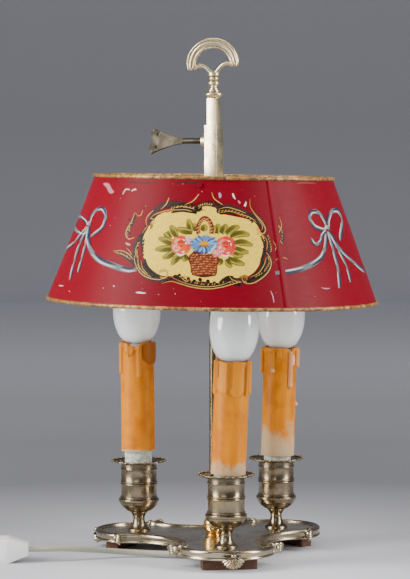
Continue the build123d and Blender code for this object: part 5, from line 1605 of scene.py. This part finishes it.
class Painter:
    """Lays strokes of paint on the shade. A drawing's points are steps across a sheet that is held
    square to the line of sight in front of the lamp, and each is carried back onto the cone."""

    def __init__(self, turn=0.0):
        self.points, self.faces, self.colours = [], [], []
        self.turn, self.count = turn, 0
        self.eye = compass(CAMERA_AZIMUTH, CAMERA_REACH, CAMERA_HEIGHT)
        aim = camera_side() * AIM_ASIDE + UP * AIM_HEIGHT
        self.ahead = (aim - self.eye).normalized()
        self.right = self.ahead.cross(UP).normalized()
        self.upright = self.right.cross(self.ahead)
        self.back = askew().inverted()
        self.jitter = Random(5)

    def seen(self, point):
        """The azimuth and height where a point of the drawing falls on the upright cone."""
        across = DRAWING_ZERO[0] + point[0] / DRAWING_STEPS - DRAWING_CENTRE[0]
        down = DRAWING_ZERO[1] + point[1] / DRAWING_STEPS - DRAWING_CENTRE[1]
        ray = self.ahead * DRAWING_REACH + self.right * across - self.upright * down
        eye = self.back @ self.eye
        ray = (self.back @ (self.eye + ray) - eye).normalized()
        inside = -(eye.x * ray.x + eye.y * ray.y) / (ray.x**2 + ray.y**2)
        outside = SHORT_OF_SHADE
        for _ in range(SEARCH_STEPS):
            between = (outside + inside) / 2
            at = eye + ray * between
            if hypot(at.x, at.y) > cone_r(at.z):
                outside = between
            else:
                inside = between
        at = eye + ray * inside
        return degrees(atan2(at.x, -at.y)), at.z

    def put(self, rows, colours, layer):
        """A strip or a field of paint from rows of (azimuth, height) and a colour for each point."""
        self.count += 1
        lift = (layer + 0.15 * (self.count % 5)) * SHEET_LAYER + 0.05 * MM
        start = len(self.points)
        for row, tints in zip(rows, colours):
            for (azimuth, height), tint in zip(row, tints):
                self.points.append(on_sheet(azimuth + self.turn, height, lift))
                self.colours.append(tint)
        _, faces = rows_mesh(rows, wrap=False)
        corners = [self.points[start + corner] for corner in faces[0]]
        normal = (corners[1] - corners[0]).cross(corners[2] - corners[0])
        outward = compass(rows[0][0][0] + self.turn)
        for face in faces:
            face = tuple(start + corner for corner in face)
            self.faces.append(face if normal.dot(outward) > 0 else face[::-1])

    def shaded(self, colour, amount=0.12):
        share = 1 + self.jitter.uniform(-amount, amount)
        return tuple(channel * share for channel in colour)

    def stroke(self, line, width, colour, layer=2, end=None, edge=0.8, runs=5):
        """One stroke of a brush. width is how broad it starts, swells and ends, in steps."""
        line = dots(line) if isinstance(line, str) else line
        marks = [Vector((*self.seen(point), 0)) for point in line]
        path = smooth_path(marks, runs)
        first, swell, last = width if isinstance(width, tuple) else (width, width, width)
        control = 2 * swell - (first + last) / 2
        colour, end = self.shaded(colour), end or colour
        rows, colours = [], []
        for index, at in enumerate(path):
            share = index / (len(path) - 1)
            broad = first * (1 - share) ** 2 + 2 * control * share * (1 - share) + last * share**2
            before, after = path[max(index - 1, 0)], path[min(index + 1, len(path) - 1)]
            reach = cone_r(at.y)
            along = Vector((radians(after.x - before.x) * reach, after.y - before.y)).normalized()
            half = broad * DRAWING_UNIT / 2
            aside = Vector((degrees(-along.y * half / reach), along.x * half))
            rows.append([(at.x + aside.x * side, at.y + aside.y * side) for side in (-1, 0, 1)])
            tint = tuple(a * (1 - share) + b * share for a, b in zip(colour, end))
            dull = tuple(channel * edge for channel in tint)
            colours.append([dull, tint, dull])
        self.put(rows, colours, layer)

    def fill(self, edge_line, colour, layer=1, rows=28, columns=36, rough=0.0):
        """A field of one colour inside a closed line, laid in level bands."""
        edge_line = dots(edge_line) if isinstance(edge_line, str) else edge_line
        marks = smooth_path([Vector((*point, 0)) for point in [*edge_line, edge_line[0]]], 4)
        top, bottom = min(mark.y for mark in marks), max(mark.y for mark in marks)
        bands, tints = [], []
        for row in range(rows + 1):
            level = top + 0.5 + (bottom - top - 1) * row / rows
            crossings = [
                a.x + (b.x - a.x) * (level - a.y) / (b.y - a.y)
                for a, b in zip(marks, marks[1:])
                if (a.y < level) != (b.y < level)
            ]
            left, right = min(crossings), max(crossings)
            bands.append(
                [self.seen((left + (right - left) * c / columns, level)) for c in range(columns + 1)]
            )
            tints.append([self.shaded(colour, rough) for _ in range(columns + 1)])
        self.put(bands, tints, layer)

    def fronds(self, line, count, reach, lean, width, colour, layer=2, end=None):
        """Short curling strokes that leave a line one after another, as in a leaf or a feather."""
        path = smooth_path([Vector((*point, 0)) for point in dots(line)], 8)
        for index in range(count):
            at = path[int((index + 0.5) / count * (len(path) - 2))]
            ahead = path[int((index + 0.5) / count * (len(path) - 2)) + 1] - at
            turned_by = Matrix.Rotation(radians(lean), 2)
            away = (turned_by @ Vector(ahead.xy.normalized())) * reach * self.jitter.uniform(0.8, 1.15)
            bend = away.orthogonal() * 0.16
            start, tip = at.xy, at.xy + away
            middle_point = (start + tip) / 2 + bend
            self.stroke([start, middle_point, tip], width, colour, layer, end, runs=3)

    def object(self, name, material, body):
        mesh = coloured_mesh(name, self.points, self.faces, "paint", self.colours)
        mesh.shade_smooth()
        mesh.materials.append(material)
        return settle(link(name, mesh), body)


def paint_frame(brush):
    """The dark and gold scrollwork round the cream field."""
    brush.fill(
        "430,244 500,206 610,190 700,192 796,196 815,168 860,148 920,150 980,170 990,215 1050,225"
        " 1150,245 1250,265 1320,290 1360,330 1385,390 1420,440 1425,500 1405,570 1390,640 1370,700"
        " 1325,760 1260,800 1190,815 1110,800 1040,850 940,856 850,850 760,836 690,820 620,808"
        " 540,806 440,800 376,760 340,690 310,620 295,550 290,480 312,420 340,370 370,310 400,280",
        CREAM, 0.5, rows=44, columns=48, rough=0.05,
    )
    for line, width in (
        ("366,262 412,196 500,142 614,133 708,150 806,196", (26, 62, 22)),
        ("985,186 1084,158 1178,190 1261,227 1343,274 1402,333 1420,392", (36, 58, 24)),
        ("1300,180 1360,240 1418,320 1424,372", (10, 34, 16)),
        ("1437,404 1462,474 1472,568", (14, 36, 20)),
        ("1446,560 1466,663 1430,745 1350,820 1250,852", (36, 74, 26)),
        ("1296,840 1202,846 1131,827 1084,800", (24, 48, 16)),
        ("578,800 640,832 760,868 900,884 1030,872 1120,832", (26, 44, 26)),
        ("560,836 449,820 378,800 308,757 261,686 240,600", (34, 70, 34)),
        ("237,640 222,568 249,486 290,430 318,360", (26, 54, 16)),
        ("155,451 161,368 214,286 237,227", (16, 46, 10)),
        ("37,568 108,586 190,639 256,716", (8, 48, 26)),
        ("800,160 880,132 960,134 1060,168", (16, 34, 16)),
        ("1543,321 1592,404 1578,521", (10, 34, 12)),
        ("1500,250 1520,300 1530,340", (8, 20, 8)),
    ):
        brush.stroke(line, width, SHADOW, 1, end=SOOT, edge=0.9)
    for line, width in (
        ("567,208 661,186 731,192 800,214", (12, 34, 16)),
        ("985,204 1040,178 1110,196 1160,216", (26, 40, 12)),
        ("372,326 356,300 392,262 430,240", (8, 22, 8)),
        ("306,420 292,480 300,560", (8, 18, 8)),
        ("322,632 343,715 414,780 480,800", (12, 36, 14)),
        ("1436,560 1400,640 1408,700 1350,770 1290,800", (10, 32, 10)),
        ("1378,320 1408,352 1400,388", (8, 24, 8)),
        ("590,786 640,812 720,838", (16, 34, 12)),
        ("1010,850 1080,812 1140,800", (12, 34, 12)),
    ):
        brush.stroke(line, width, SOOT, 1.8, end=DARK, edge=0.9)
    for line, count, reach, lean, width in (
        ("800,196 720,176 640,172 560,186", 8, 62, 132, (4, 22, 3)),
        ("620,168 700,152 790,158", 6, 44, -52, (3, 14, 2)),
        ("990,190 1080,172 1180,196", 7, 52, 50, (4, 20, 3)),
        ("1060,160 1160,176 1270,222 1350,290", 10, 44, 58, (3, 14, 2)),
        ("800,152 880,122 970,128 1050,160", 8, 34, -62, (3, 10, 2)),
        ("350,300 300,400 270,480", 5, 46, -24, (3, 16, 3)),
        ("300,400 268,500 262,590", 5, 40, 34, (3, 14, 3)),
        ("296,470 290,560 300,640", 5, 38, -150, (3, 13, 2)),
        ("246,640 270,740 330,800", 7, 52, -28, (4, 17, 3)),
        ("330,632 345,700 400,770", 4, 70, 12, (6, 20, 4)),
        ("1446,570 1470,640 1440,730", 7, 56, 152, (3, 14, 2)),
        ("1440,700 1370,790 1270,830", 6, 70, -26, (4, 18, 3)),
        ("1396,410 1436,480 1436,560", 7, 32, 52, (3, 11, 2)),
        ("480,838 560,800 640,800", 6, 40, 50, (4, 14, 3)),
        ("1080,800 1150,832 1220,850", 6, 46, 60, (4, 15, 3)),
        ("640,800 760,850 920,872 1070,850", 15, 34, 62, (4, 15, 4)),
        ("180,250 164,340 178,410", 4, 30, -40, (3, 10, 2)),
    ):
        brush.fronds(line, count, reach, lean, tuple(broad * 1.35 for broad in width), DARK, 2.2)
    for x, y, size in (
        (640, 792, 24), (668, 822, 26), (722, 826, 27), (778, 846, 26), (830, 836, 30), (862, 860, 20),
        (902, 850, 30), (962, 862, 25), (1012, 868, 24), (1054, 846, 28), (1092, 812, 28),
    ):
        arch = [(x - size / 2, y - 4), (x, y - size / 3), (x + size / 2, y + 4)]
        brush.stroke(arch, (8, size, 8), DARK, 3)
    for line, width in (
        ("470,178 520,130 546,72", (6, 16, 7)),
        ("690,136 768,100 822,36", (5, 15, 8)),
        ("938,20 962,80 1040,136", (7, 14, 4)),
        ("1290,80 1292,150 1330,214 1398,290 1432,360 1414,400 1372,388", (6, 14, 7)),
        ("340,335 334,280 356,232 402,188", (5, 13, 5)),
        ("372,325 404,300 400,270 372,262", (4, 12, 5)),
        ("372,262 420,222 520,190 600,178", (4, 11, 4)),
        ("520,208 600,186 690,182 760,198", (4, 10, 4)),
        ("600,160 660,150 720,160 780,176", (4, 9, 4)),
        ("1000,178 1080,160 1180,186 1250,214", (4, 11, 4)),
        ("1010,212 1100,196 1190,222 1290,252 1350,300", (4, 9, 4)),
        ("1300,180 1360,262 1404,330 1398,372", (4, 9, 3)),
        ("260,238 232,212 204,286 164,350 148,410 176,452 226,438", (5, 13, 6)),
        ("190,290 178,340 184,390", (3, 9, 3)),
        ("248,240 286,232 304,186", (4, 12, 5)),
        ("328,150 334,146", (10, 12, 8)),
        ("30,562 110,560 172,592 214,640", (5, 11, 4)),
        ("40,574 120,596 180,632", (3, 7, 3)),
        ("150,530 186,570 200,600", (4, 9, 4)),
        ("250,560 226,640 262,740 330,800 440,826 500,812", (4, 12, 5)),
        ("268,600 262,680 306,760 380,802", (3, 8, 4)),
        ("286,650 300,720 352,780", (3, 8, 3)),
        ("452,770 480,744 522,752 530,790 500,812 462,800", (6, 15, 7)),
        ("478,862 560,842 640,862 760,896 900,912 1030,896 1130,868 1210,846", (5, 12, 5)),
        ("560,800 660,846 780,880 900,892 1020,878 1120,840", (3, 9, 3)),
        ("640,790 690,836 720,846", (3, 9, 3)),
        ("1216,800 1222,832 1262,862 1340,850 1440,776 1482,700 1476,630 1440,574", (6, 13, 5)),
        ("1290,806 1370,764 1420,690 1440,620", (4, 9, 3)),
        ("1100,794 1126,826 1180,846", (4, 9, 4)),
        ("1400,404 1446,470 1444,560", (3, 8, 3)),
        ("262,480 240,540 236,600", (3, 9, 3)),
        ("300,400 330,352 348,340", (3, 9, 4)),
        ("1500,470 1530,520 1520,560", (4, 10, 4)),
        ("1520,650 1580,620 1640,640", (3, 9, 3)),
        ("1560,250 1580,330 1550,420 1590,500", (4, 12, 4)),
    ):
        slim = tuple(broad * 0.72 for broad in width)
        brush.stroke(line, slim, GOLD, 3.4, end=PALE_GOLD)
    for line, count, reach, lean, width in (
        ("560,176 660,160 790,172", 9, 30, -48, (2, 7, 2)),
        ("1000,186 1120,184 1240,226 1340,290", 11, 30, 120, (2, 7, 2)),
        ("810,160 880,136 960,146", 7, 24, -70, (3, 9, 2)),
        ("244,600 262,720 340,796", 8, 32, -160, (2, 6, 2)),
        ("1462,600 1462,690 1400,770 1300,822", 10, 30, 150, (2, 6, 2)),
        ("640,800 760,856 920,880 1080,850", 14, 20, -60, (2, 6, 2)),
        ("256,480 238,580 250,640", 6, 26, -140, (2, 7, 2)),
        ("1446,420 1474,520 1470,600", 7, 26, -150, (2, 6, 2)),
        ("1100,862 1200,858 1290,856", 6, 26, -130, (2, 6, 2)),
        ("214,300 176,380 172,440", 5, 22, 60, (2, 6, 2)),
        ("60,580 130,604 220,672", 6, 24, -150, (2, 5, 2)),
        ("1560,330 1590,400 1576,500", 6, 24, 140, (2, 6, 2)),
    ):
        brush.fronds(line, count, reach, lean, width, PALE_GOLD, 3.8, end=GOLD)
    for line, colour in (
        ("372,300 384,330 372,360", OCHRE), ("452,748 500,736 540,760", STRAW),
        ("1350,350 1372,380 1360,410", STRAW), ("1190,806 1250,796 1262,830", OCHRE),
    ):
        brush.stroke(line, (8, 26, 8), colour, 3)


def paint_basket(brush):
    """A wicker basket of roses and a daisy, with leaves fanned out behind it."""
    for line in (
        "600,500 530,470 456,444", "600,535 510,540 426,546", "600,570 550,600 492,624",
        "650,600 606,640 572,684", "705,600 694,628 684,656", "625,440 590,380 560,332",
        "760,392 690,376 622,356", "745,380 736,330 724,274", "800,372 784,346 768,312",
        "850,376 868,350 884,322", "985,402 990,360 1000,316", "1030,402 1050,360 1076,320",
        "1070,402 1130,360 1188,338", "1110,430 1200,404 1280,412", "1140,490 1220,484 1308,506",
        "1130,530 1200,560 1272,574", "1120,570 1170,596 1222,606", "1090,630 1160,660 1236,684",
        "1070,640 1094,676 1116,712", "1020,630 1014,660 1000,686", "940,400 950,370 962,330",
        "560,430 520,400 556,440", "700,590 660,600 640,640",
    ):
        start, middle_point, tip = (Vector(point) for point in dots(line))
        round_tip = tip + (tip - middle_point) * 0.12
        brush.stroke([start, middle_point, round_tip], (22, 62, 22), LEAF, 1.2, end=PALE_LEAF, edge=0.6)
        aside = (tip - start).orthogonal().normalized()
        for shift, share, broad, tint in (
            (-14, 0.8, 20, DARK_LEAF), (4, 0.62, 16, DARK_LEAF), (16, 0.95, 13, PALE_LEAF),
        ):
            far = start.lerp(tip, share) + aside * shift * 0.7
            brush.stroke(
                [start + aside * shift, middle_point + aside * shift, far], (10, broad, 3), tint,
                1.7 + broad * 0.01, end=LEAF if tint is DARK_LEAF else (0.5, 0.42, 0.06),
            )
    for shift, colour, width in ((0, WICKER, 36), (-11, DARK_WICKER, 8), (12, PALE_WICKER, 7)):
        hoop = [
            (816 + shift * 0.6, 404), (812 + shift, 340), (842 + shift * 0.6, 276 + shift * 0.6),
            (880, 258 + shift), (918 - shift * 0.6, 286 + shift * 0.4), (938 - shift, 345),
            (932 - shift, 402),
        ]
        brush.stroke(hoop, width, colour, 2 + abs(shift) * 0.04)
    for x, y in (
        (812, 380), (810, 350), (820, 318), (834, 290), (862, 268), (896, 270), (920, 296),
        (932, 326), (936, 356), (934, 384),
    ):
        brush.stroke([(x - 17, y + 9), (x, y - 2), (x + 17, y - 9)], (3, 9, 3), PALE_WICKER, 3)
        brush.stroke([(x - 15, y + 19), (x, y + 8), (x + 17, y + 1)], (2, 6, 2), DARK_WICKER, 3.2)
    brush.fill(
        "716,630 780,560 870,552 960,575 1008,640 990,700 975,786 860,796 756,776 742,700",
        DARK_WICKER, 2, rows=16, columns=18,
    )
    for row in range(WEAVE_ROWS):
        level, inset = 600 + row * 22, row * 4.2
        left, right = 728 + inset, 1000 - inset * 0.8
        for column in range(WEAVE_COLUMNS):
            x = left + (right - left) * (column + 0.5 + 0.25 * (row % 2)) / WEAVE_COLUMNS
            rise = -5 + 2.2 * abs(column - WEAVE_COLUMNS / 2)
            tint = PALE_WICKER if (row + column) % 3 else WICKER
            weave = [(x - 14, level + rise), (x, level - 5 + rise), (x + 14, level + rise)]
            brush.stroke(weave, (4, 15, 4), tint, 2.6, end=WICKER)
    for stake in range(STAKES):
        share = stake / (STAKES - 1)
        line = [(742 + 245 * share, 600), (752 + 226 * share, 700), (760 + 208 * share, 786)]
        brush.stroke(line, (5, 7, 5), WICKER, 3)
    brush.stroke("756,776 860,798 976,784", (8, 13, 8), DARK_WICKER, 3.4)
    for x, y, size, tints in (
        (655, 510, 92, (CORAL, EMBER, BLUSH)), (1068, 520, 96, (ROSE, EMBER, BLUSH)),
    ):
        rose = [
            (x + size * (0.96 + 0.08 * (k % 2)) * cos(k * pi / 6), y + size * sin(k * pi / 6))
            for k in range(12)
        ]
        brush.fill(rose, tints[0], 2, rows=14, columns=14, rough=0.1)
        for k in range(11):
            angle = k * 2.4
            reach = size * (0.25 + 0.062 * k)
            near, far = angle - 0.75, angle + 0.75
            arc = [(x + reach * cos(a), y + reach * 0.95 * sin(a)) for a in (near, angle, far)]
            tint = tints[(k * 2) % 3] if k < 8 else (tints[2] if k % 2 else tints[1])
            brush.stroke(arc, (5, size * 0.27, 5), tint, 2.6 + 0.06 * k, end=tints[0], edge=0.8)
        brush.stroke([(x - 26, y - 20), (x - 4, y - 34), (x + 22, y - 18)], (6, 24, 6), tints[1], 3.5)
        brush.stroke([(x - 14, y - 6), (x + 4, y + 6), (x + 24, y - 4)], (5, 16, 5), tints[1], 3.5)
        lip = [(x - 40, y + 74), (x - 6, y + 92), (x + 40, y + 76)]
        brush.stroke(lip, (6, 18, 6), (1, 0.84, 0.74), 3.6)
        for dx, dy, turn_by in (
            (30, -52, 0.4), (52, -20, 1.2), (-30, 40, 0.2), (20, 56, -0.3), (-56, 10, 1.7),
        ):
            along = Vector((cos(turn_by), sin(turn_by))) * 15
            at = Vector((x + dx, y + dy))
            glint = [at - along, at + along.orthogonal() * 0.3, at + along]
            brush.stroke(glint, (3, 11, 3), (1, 0.86, 0.78), 3.7)
    brush.stroke("700,430 722,455 724,500", (10, 34, 8), rgb(214, 188, 214), 3.5)
    brush.fill("940,590 975,552 1012,580 1004,622 960,624", rgb(244, 120, 140), 2.6, 8, 8, 0.1)
    brush.stroke("950,592 974,574 1000,590", (6, 18, 6), BLUSH, 3.4)
    x, y = 868, 500
    for k in range(PETALS):
        angle = k * FULL_TURN / PETALS + 0.1
        tint = (BLUE, NAVY, SKY, BLUE, SKY)[k % 5]
        far = 1 + 0.08 * (k % 3)
        brush.stroke(
            [(x + 28 * cos(angle), y + 18 * sin(angle)),
             (x + 80 * cos(angle), y + 54 * sin(angle)),
             (x + 122 * far * cos(angle), y + 80 * far * sin(angle))],
            (7, 22, 7), tint, 3.0 + 0.1 * (k % 4), end=SKY if k % 2 else BLUE, edge=0.7,
        )
    brush.stroke("826,504 870,488 914,502", (16, 44, 16), YOLK, 3.9, edge=0.8)
    brush.stroke("836,510 870,520 902,508", (5, 14, 5), rgb(150, 104, 40), 4.2)
    for line in ("930,560 960,530 980,500", "900,585 930,575 950,560"):
        brush.stroke(line, (6, 20, 6), rgb(206, 214, 190), 3.7)


def paint_ribbon(brush, line, width, folds=3):
    """A silk ribbon: its grey body, a dark fold along one side and broken lights on the other."""
    points = [Vector(point) for point in dots(line)]
    width = tuple(part * 1.35 for part in width)
    brush.stroke(points, width, RIBBON, 1.5, end=RIBBON)
    broad = width[1]
    path = smooth_path([point.to_3d() for point in points], 6)
    for side, tint, share in ((-0.3, RIBBON_SHADE, 0.5), (0.2, RIBBON_LIGHT, 0.34)):
        for fold in range(folds):
            start = int(len(path) * (fold + 0.06) / folds)
            end = min(int(len(path) * (fold + 0.86) / folds), len(path) - 1)
            marks = []
            for index in (start, (start + end) // 2, end):
                ahead = (path[min(index + 1, len(path) - 1)] - path[max(index - 1, 0)]).xy.normalized()
                marks.append(path[index].xy + Vector((-ahead.y, ahead.x)) * broad * side)
            brush.stroke(marks, (4, broad * share, 3), tint, 2.4 + side)


def paint_bows(brush):
    for line, width in (
        ("1985,370 1880,330 1838,250 1866,200 1930,214 1985,300 2002,360", (14, 30, 14)),
        ("2010,365 2015,270 2050,196 2110,200 2140,280 2128,400 2125,470", (14, 32, 12)),
        ("1992,372 1950,420 1941,470 1890,500 1850,440", (12, 24, 6)),
        ("2010,380 2060,560 2100,720 2117,904", (14, 30, 12)),
        ("2020,385 2110,560 2180,700 2223,850", (12, 26, 10)),
        ("2030,400 2120,540 2240,660 2343,756", (12, 28, 12)),
        ("1992,390 1985,520 1928,640 1752,730 1522,766", (14, 34, 22)),
        ("-194,330 -160,220 -90,170 -40,210 -60,330 -190,440", (12, 28, 10)),
        ("-200,330 -250,260 -310,250 -330,330 -250,400 -196,340", (10, 22, 10)),
        ("-200,340 -280,500 -330,660 -369,830", (12, 26, 8)),
        ("-196,345 -230,520 -262,640 -295,760", (10, 22, 8)),
        ("-196,345 -203,480 -120,627 37,700 150,735 245,735", (14, 38, 26)),
        ("-210,340 -330,480 -420,560 -520,600", (10, 24, 10)),
    ):
        paint_ribbon(brush, line, width)
    for line in ("1978,352 2004,340 2030,372", "-214,318 -194,304 -176,334"):
        brush.stroke(line, (16, 34, 16), RIBBON_LIGHT, 3.2, end=RIBBON_SHADE)


CHIPS = 70
CHIP_TINTS = ((236, 170, 166), (96, 16, 28), (74, 20, 26))
SCUFFS = (
    ("-60,-60 -20,-40 10,10 40,20", (8, 46, 10), (190, 120, 130)),
    ("120,40 136,10 150,-6 186,-4", (8, 14, 8), (236, 196, 190)),
    ("200,10 230,-6 244,0", (8, 14, 8), (240, 210, 206)),
    ("770,-70 820,-62 850,-60", (16, 30, 12), (60, 30, 34)),
    ("1008,24 1016,50 1012,74", (12, 26, 12), (190, 140, 170)),
    ("1132,30 1140,56 1156,86", (8, 18, 5), (250, 232, 226)),
    ("1180,96 1196,116 1204,120", (6, 20, 8), (196, 150, 150)),
    ("1240,150 1250,130 1254,106", (18, 18, 6), (250, 226, 206)),
    ("236,944 280,948 330,952", (6, 16, 6), (250, 214, 206)),
    ("-470,880 -450,884 -430,884", (6, 12, 6), (220, 150, 150)),
    ("1720,-60 1780,-66 1900,-62", (4, 10, 4), (120, 84, 90)),
    ("160,-70 300,-66 420,-70", (6, 14, 5), (70, 24, 32)),
    ("600,-72 700,-68 760,-72", (6, 12, 5), (60, 24, 30)),
    ("1480,930 1500,980 1510,1040", (5, 12, 5), (206, 150, 160)),
    ("1950,900 1990,910 2030,906", (4, 12, 4), (200, 130, 140)),
    ("30,880 36,888 42,890", (8, 12, 8), (236, 180, 180)),
    ("144,488 164,500 186,508", (8, 20, 8), (206, 150, 150)),
)


def paint_scuffs(brush):
    """Rubs and chips where hands have moved the shade."""
    for line, width, tint in SCUFFS:
        brush.stroke(line, width, rgb(*tint), 0.4)
    chance = Random(11)
    for _ in range(CHIPS):
        x, y = chance.uniform(-500, 2350), chance.uniform(-70, 1000)
        size, tint = chance.uniform(2, 5), chance.choice(CHIP_TINTS)
        on_field = 200 < x < 1480 and 120 < y < 900
        if on_field or abs(x - 940) > 1250 + (y - 100) * 0.35:
            continue
        chip = [(x - size, y), (x, y + size / 2), (x + size, y + size)]
        brush.stroke(chip, (size, size * 1.6, size), rgb(*tint), 0.3, runs=2)


class LAMP_OT_shade(bpy.types.Operator):
    """Roll the lacquered shade, its gilt rims and the carriage that slides it"""

    bl_idname = "lamp.shade"
    bl_label = "Shade"

    def execute(self, context):
        body = "shade_carriage"
        skin = piece(
            "lacquered_shade", [rows_mesh(shade_skin_rows(), close=True)], finish(lacquer), body,
            ("shade_skin",), crease=50,
        )
        skin.data.materials.append(finish(shade_lining))
        for face in skin.data.polygons:
            face.material_index = int(face.normal.dot(face.center - UP * face.center.z) < 0)
        for node, name in (("shade_top_wire", "top_rim"), ("shade_bottom_wire", "bottom_rim")):
            height, radius = middle(node).z, high(node).x - RIM_R
            rim = rows_mesh(rim_rows(height, radius, RIM_R), close=True)
            piece(name, [rim], finish(gilt_edge), body, (node,))
        for node, surface in (("shade_spider", raw_brass), ("shade_rivets", lacquer)):
            made = softened(node, finish(surface), body)
            made.data.transform(askew())
        # The sleeve takes the lighter plate, partly painted light
        softened("slide_sleeve", finish(polished_and_lit_silver), body, 0.4 * MM)
        softened("thumb_key", finish(pewter), "thumb_key", 0.3 * MM)
        return {"FINISHED"}


class LAMP_OT_ornament(bpy.types.Operator):
    """Paint the baskets of flowers, their scrollwork and the ribbon bows on the shade"""

    bl_idname = "lamp.ornament"
    bl_label = "Painted ornament"

    def execute(self, context):
        for name, turn in (("front_painting", 0.0), ("back_painting", 180.0)):
            brush = Painter(turn)
            paint_frame(brush)
            paint_basket(brush)
            paint_bows(brush)
            paint_scuffs(brush)
            brush.object(name, finish(brushed_paint), "shade_carriage")
        return {"FINISHED"}


# ---------------------------------------------------------------- panel and registration
class LAMP_PT_panel(bpy.types.Panel):
    """The lamp's settings and the steps that make it"""

    bl_label = "Bouillotte Lamp"
    bl_space_type = "VIEW_3D"
    bl_region_type = "UI"
    bl_category = "Lamp"

    def draw(self, context):
        for label, group in SETTINGS.items():
            box = self.layout.box()
            values = getattr(context.scene, label)
            for prop in group.__annotations__:
                box.prop(values, prop)
        for step in STEPS:
            self.layout.operator(step.bl_idname)


SETTINGS = {
    "lamp_stage": StageSettings,
    "lamp_metal": MetalSettings,
    "lamp_candle": CandleSettings,
    "lamp_shade": ShadeSettings,
    "lamp_cord": CordSettings,
}
STEPS = (
    LAMP_OT_stage,
    LAMP_OT_cord,
    LAMP_OT_tray,
    LAMP_OT_post,
    LAMP_OT_cups,
    LAMP_OT_candles,
    LAMP_OT_shade,
    LAMP_OT_ornament,
)
CLASSES = (*SETTINGS.values(), *STEPS, LAMP_PT_panel)


def register():
    for each in CLASSES:
        bpy.utils.register_class(each)
    for label, group in SETTINGS.items():
        setattr(bpy.types.Scene, label, PointerProperty(type=group))


def unregister():
    for label in SETTINGS:
        delattr(bpy.types.Scene, label)
    for each in reversed(CLASSES):
        bpy.utils.unregister_class(each)


def main():
    register()
    for step in STEPS:
        space, name = step.bl_idname.split(".")
        getattr(getattr(bpy.ops, space), name)()


if __name__ == "__main__":
    main()
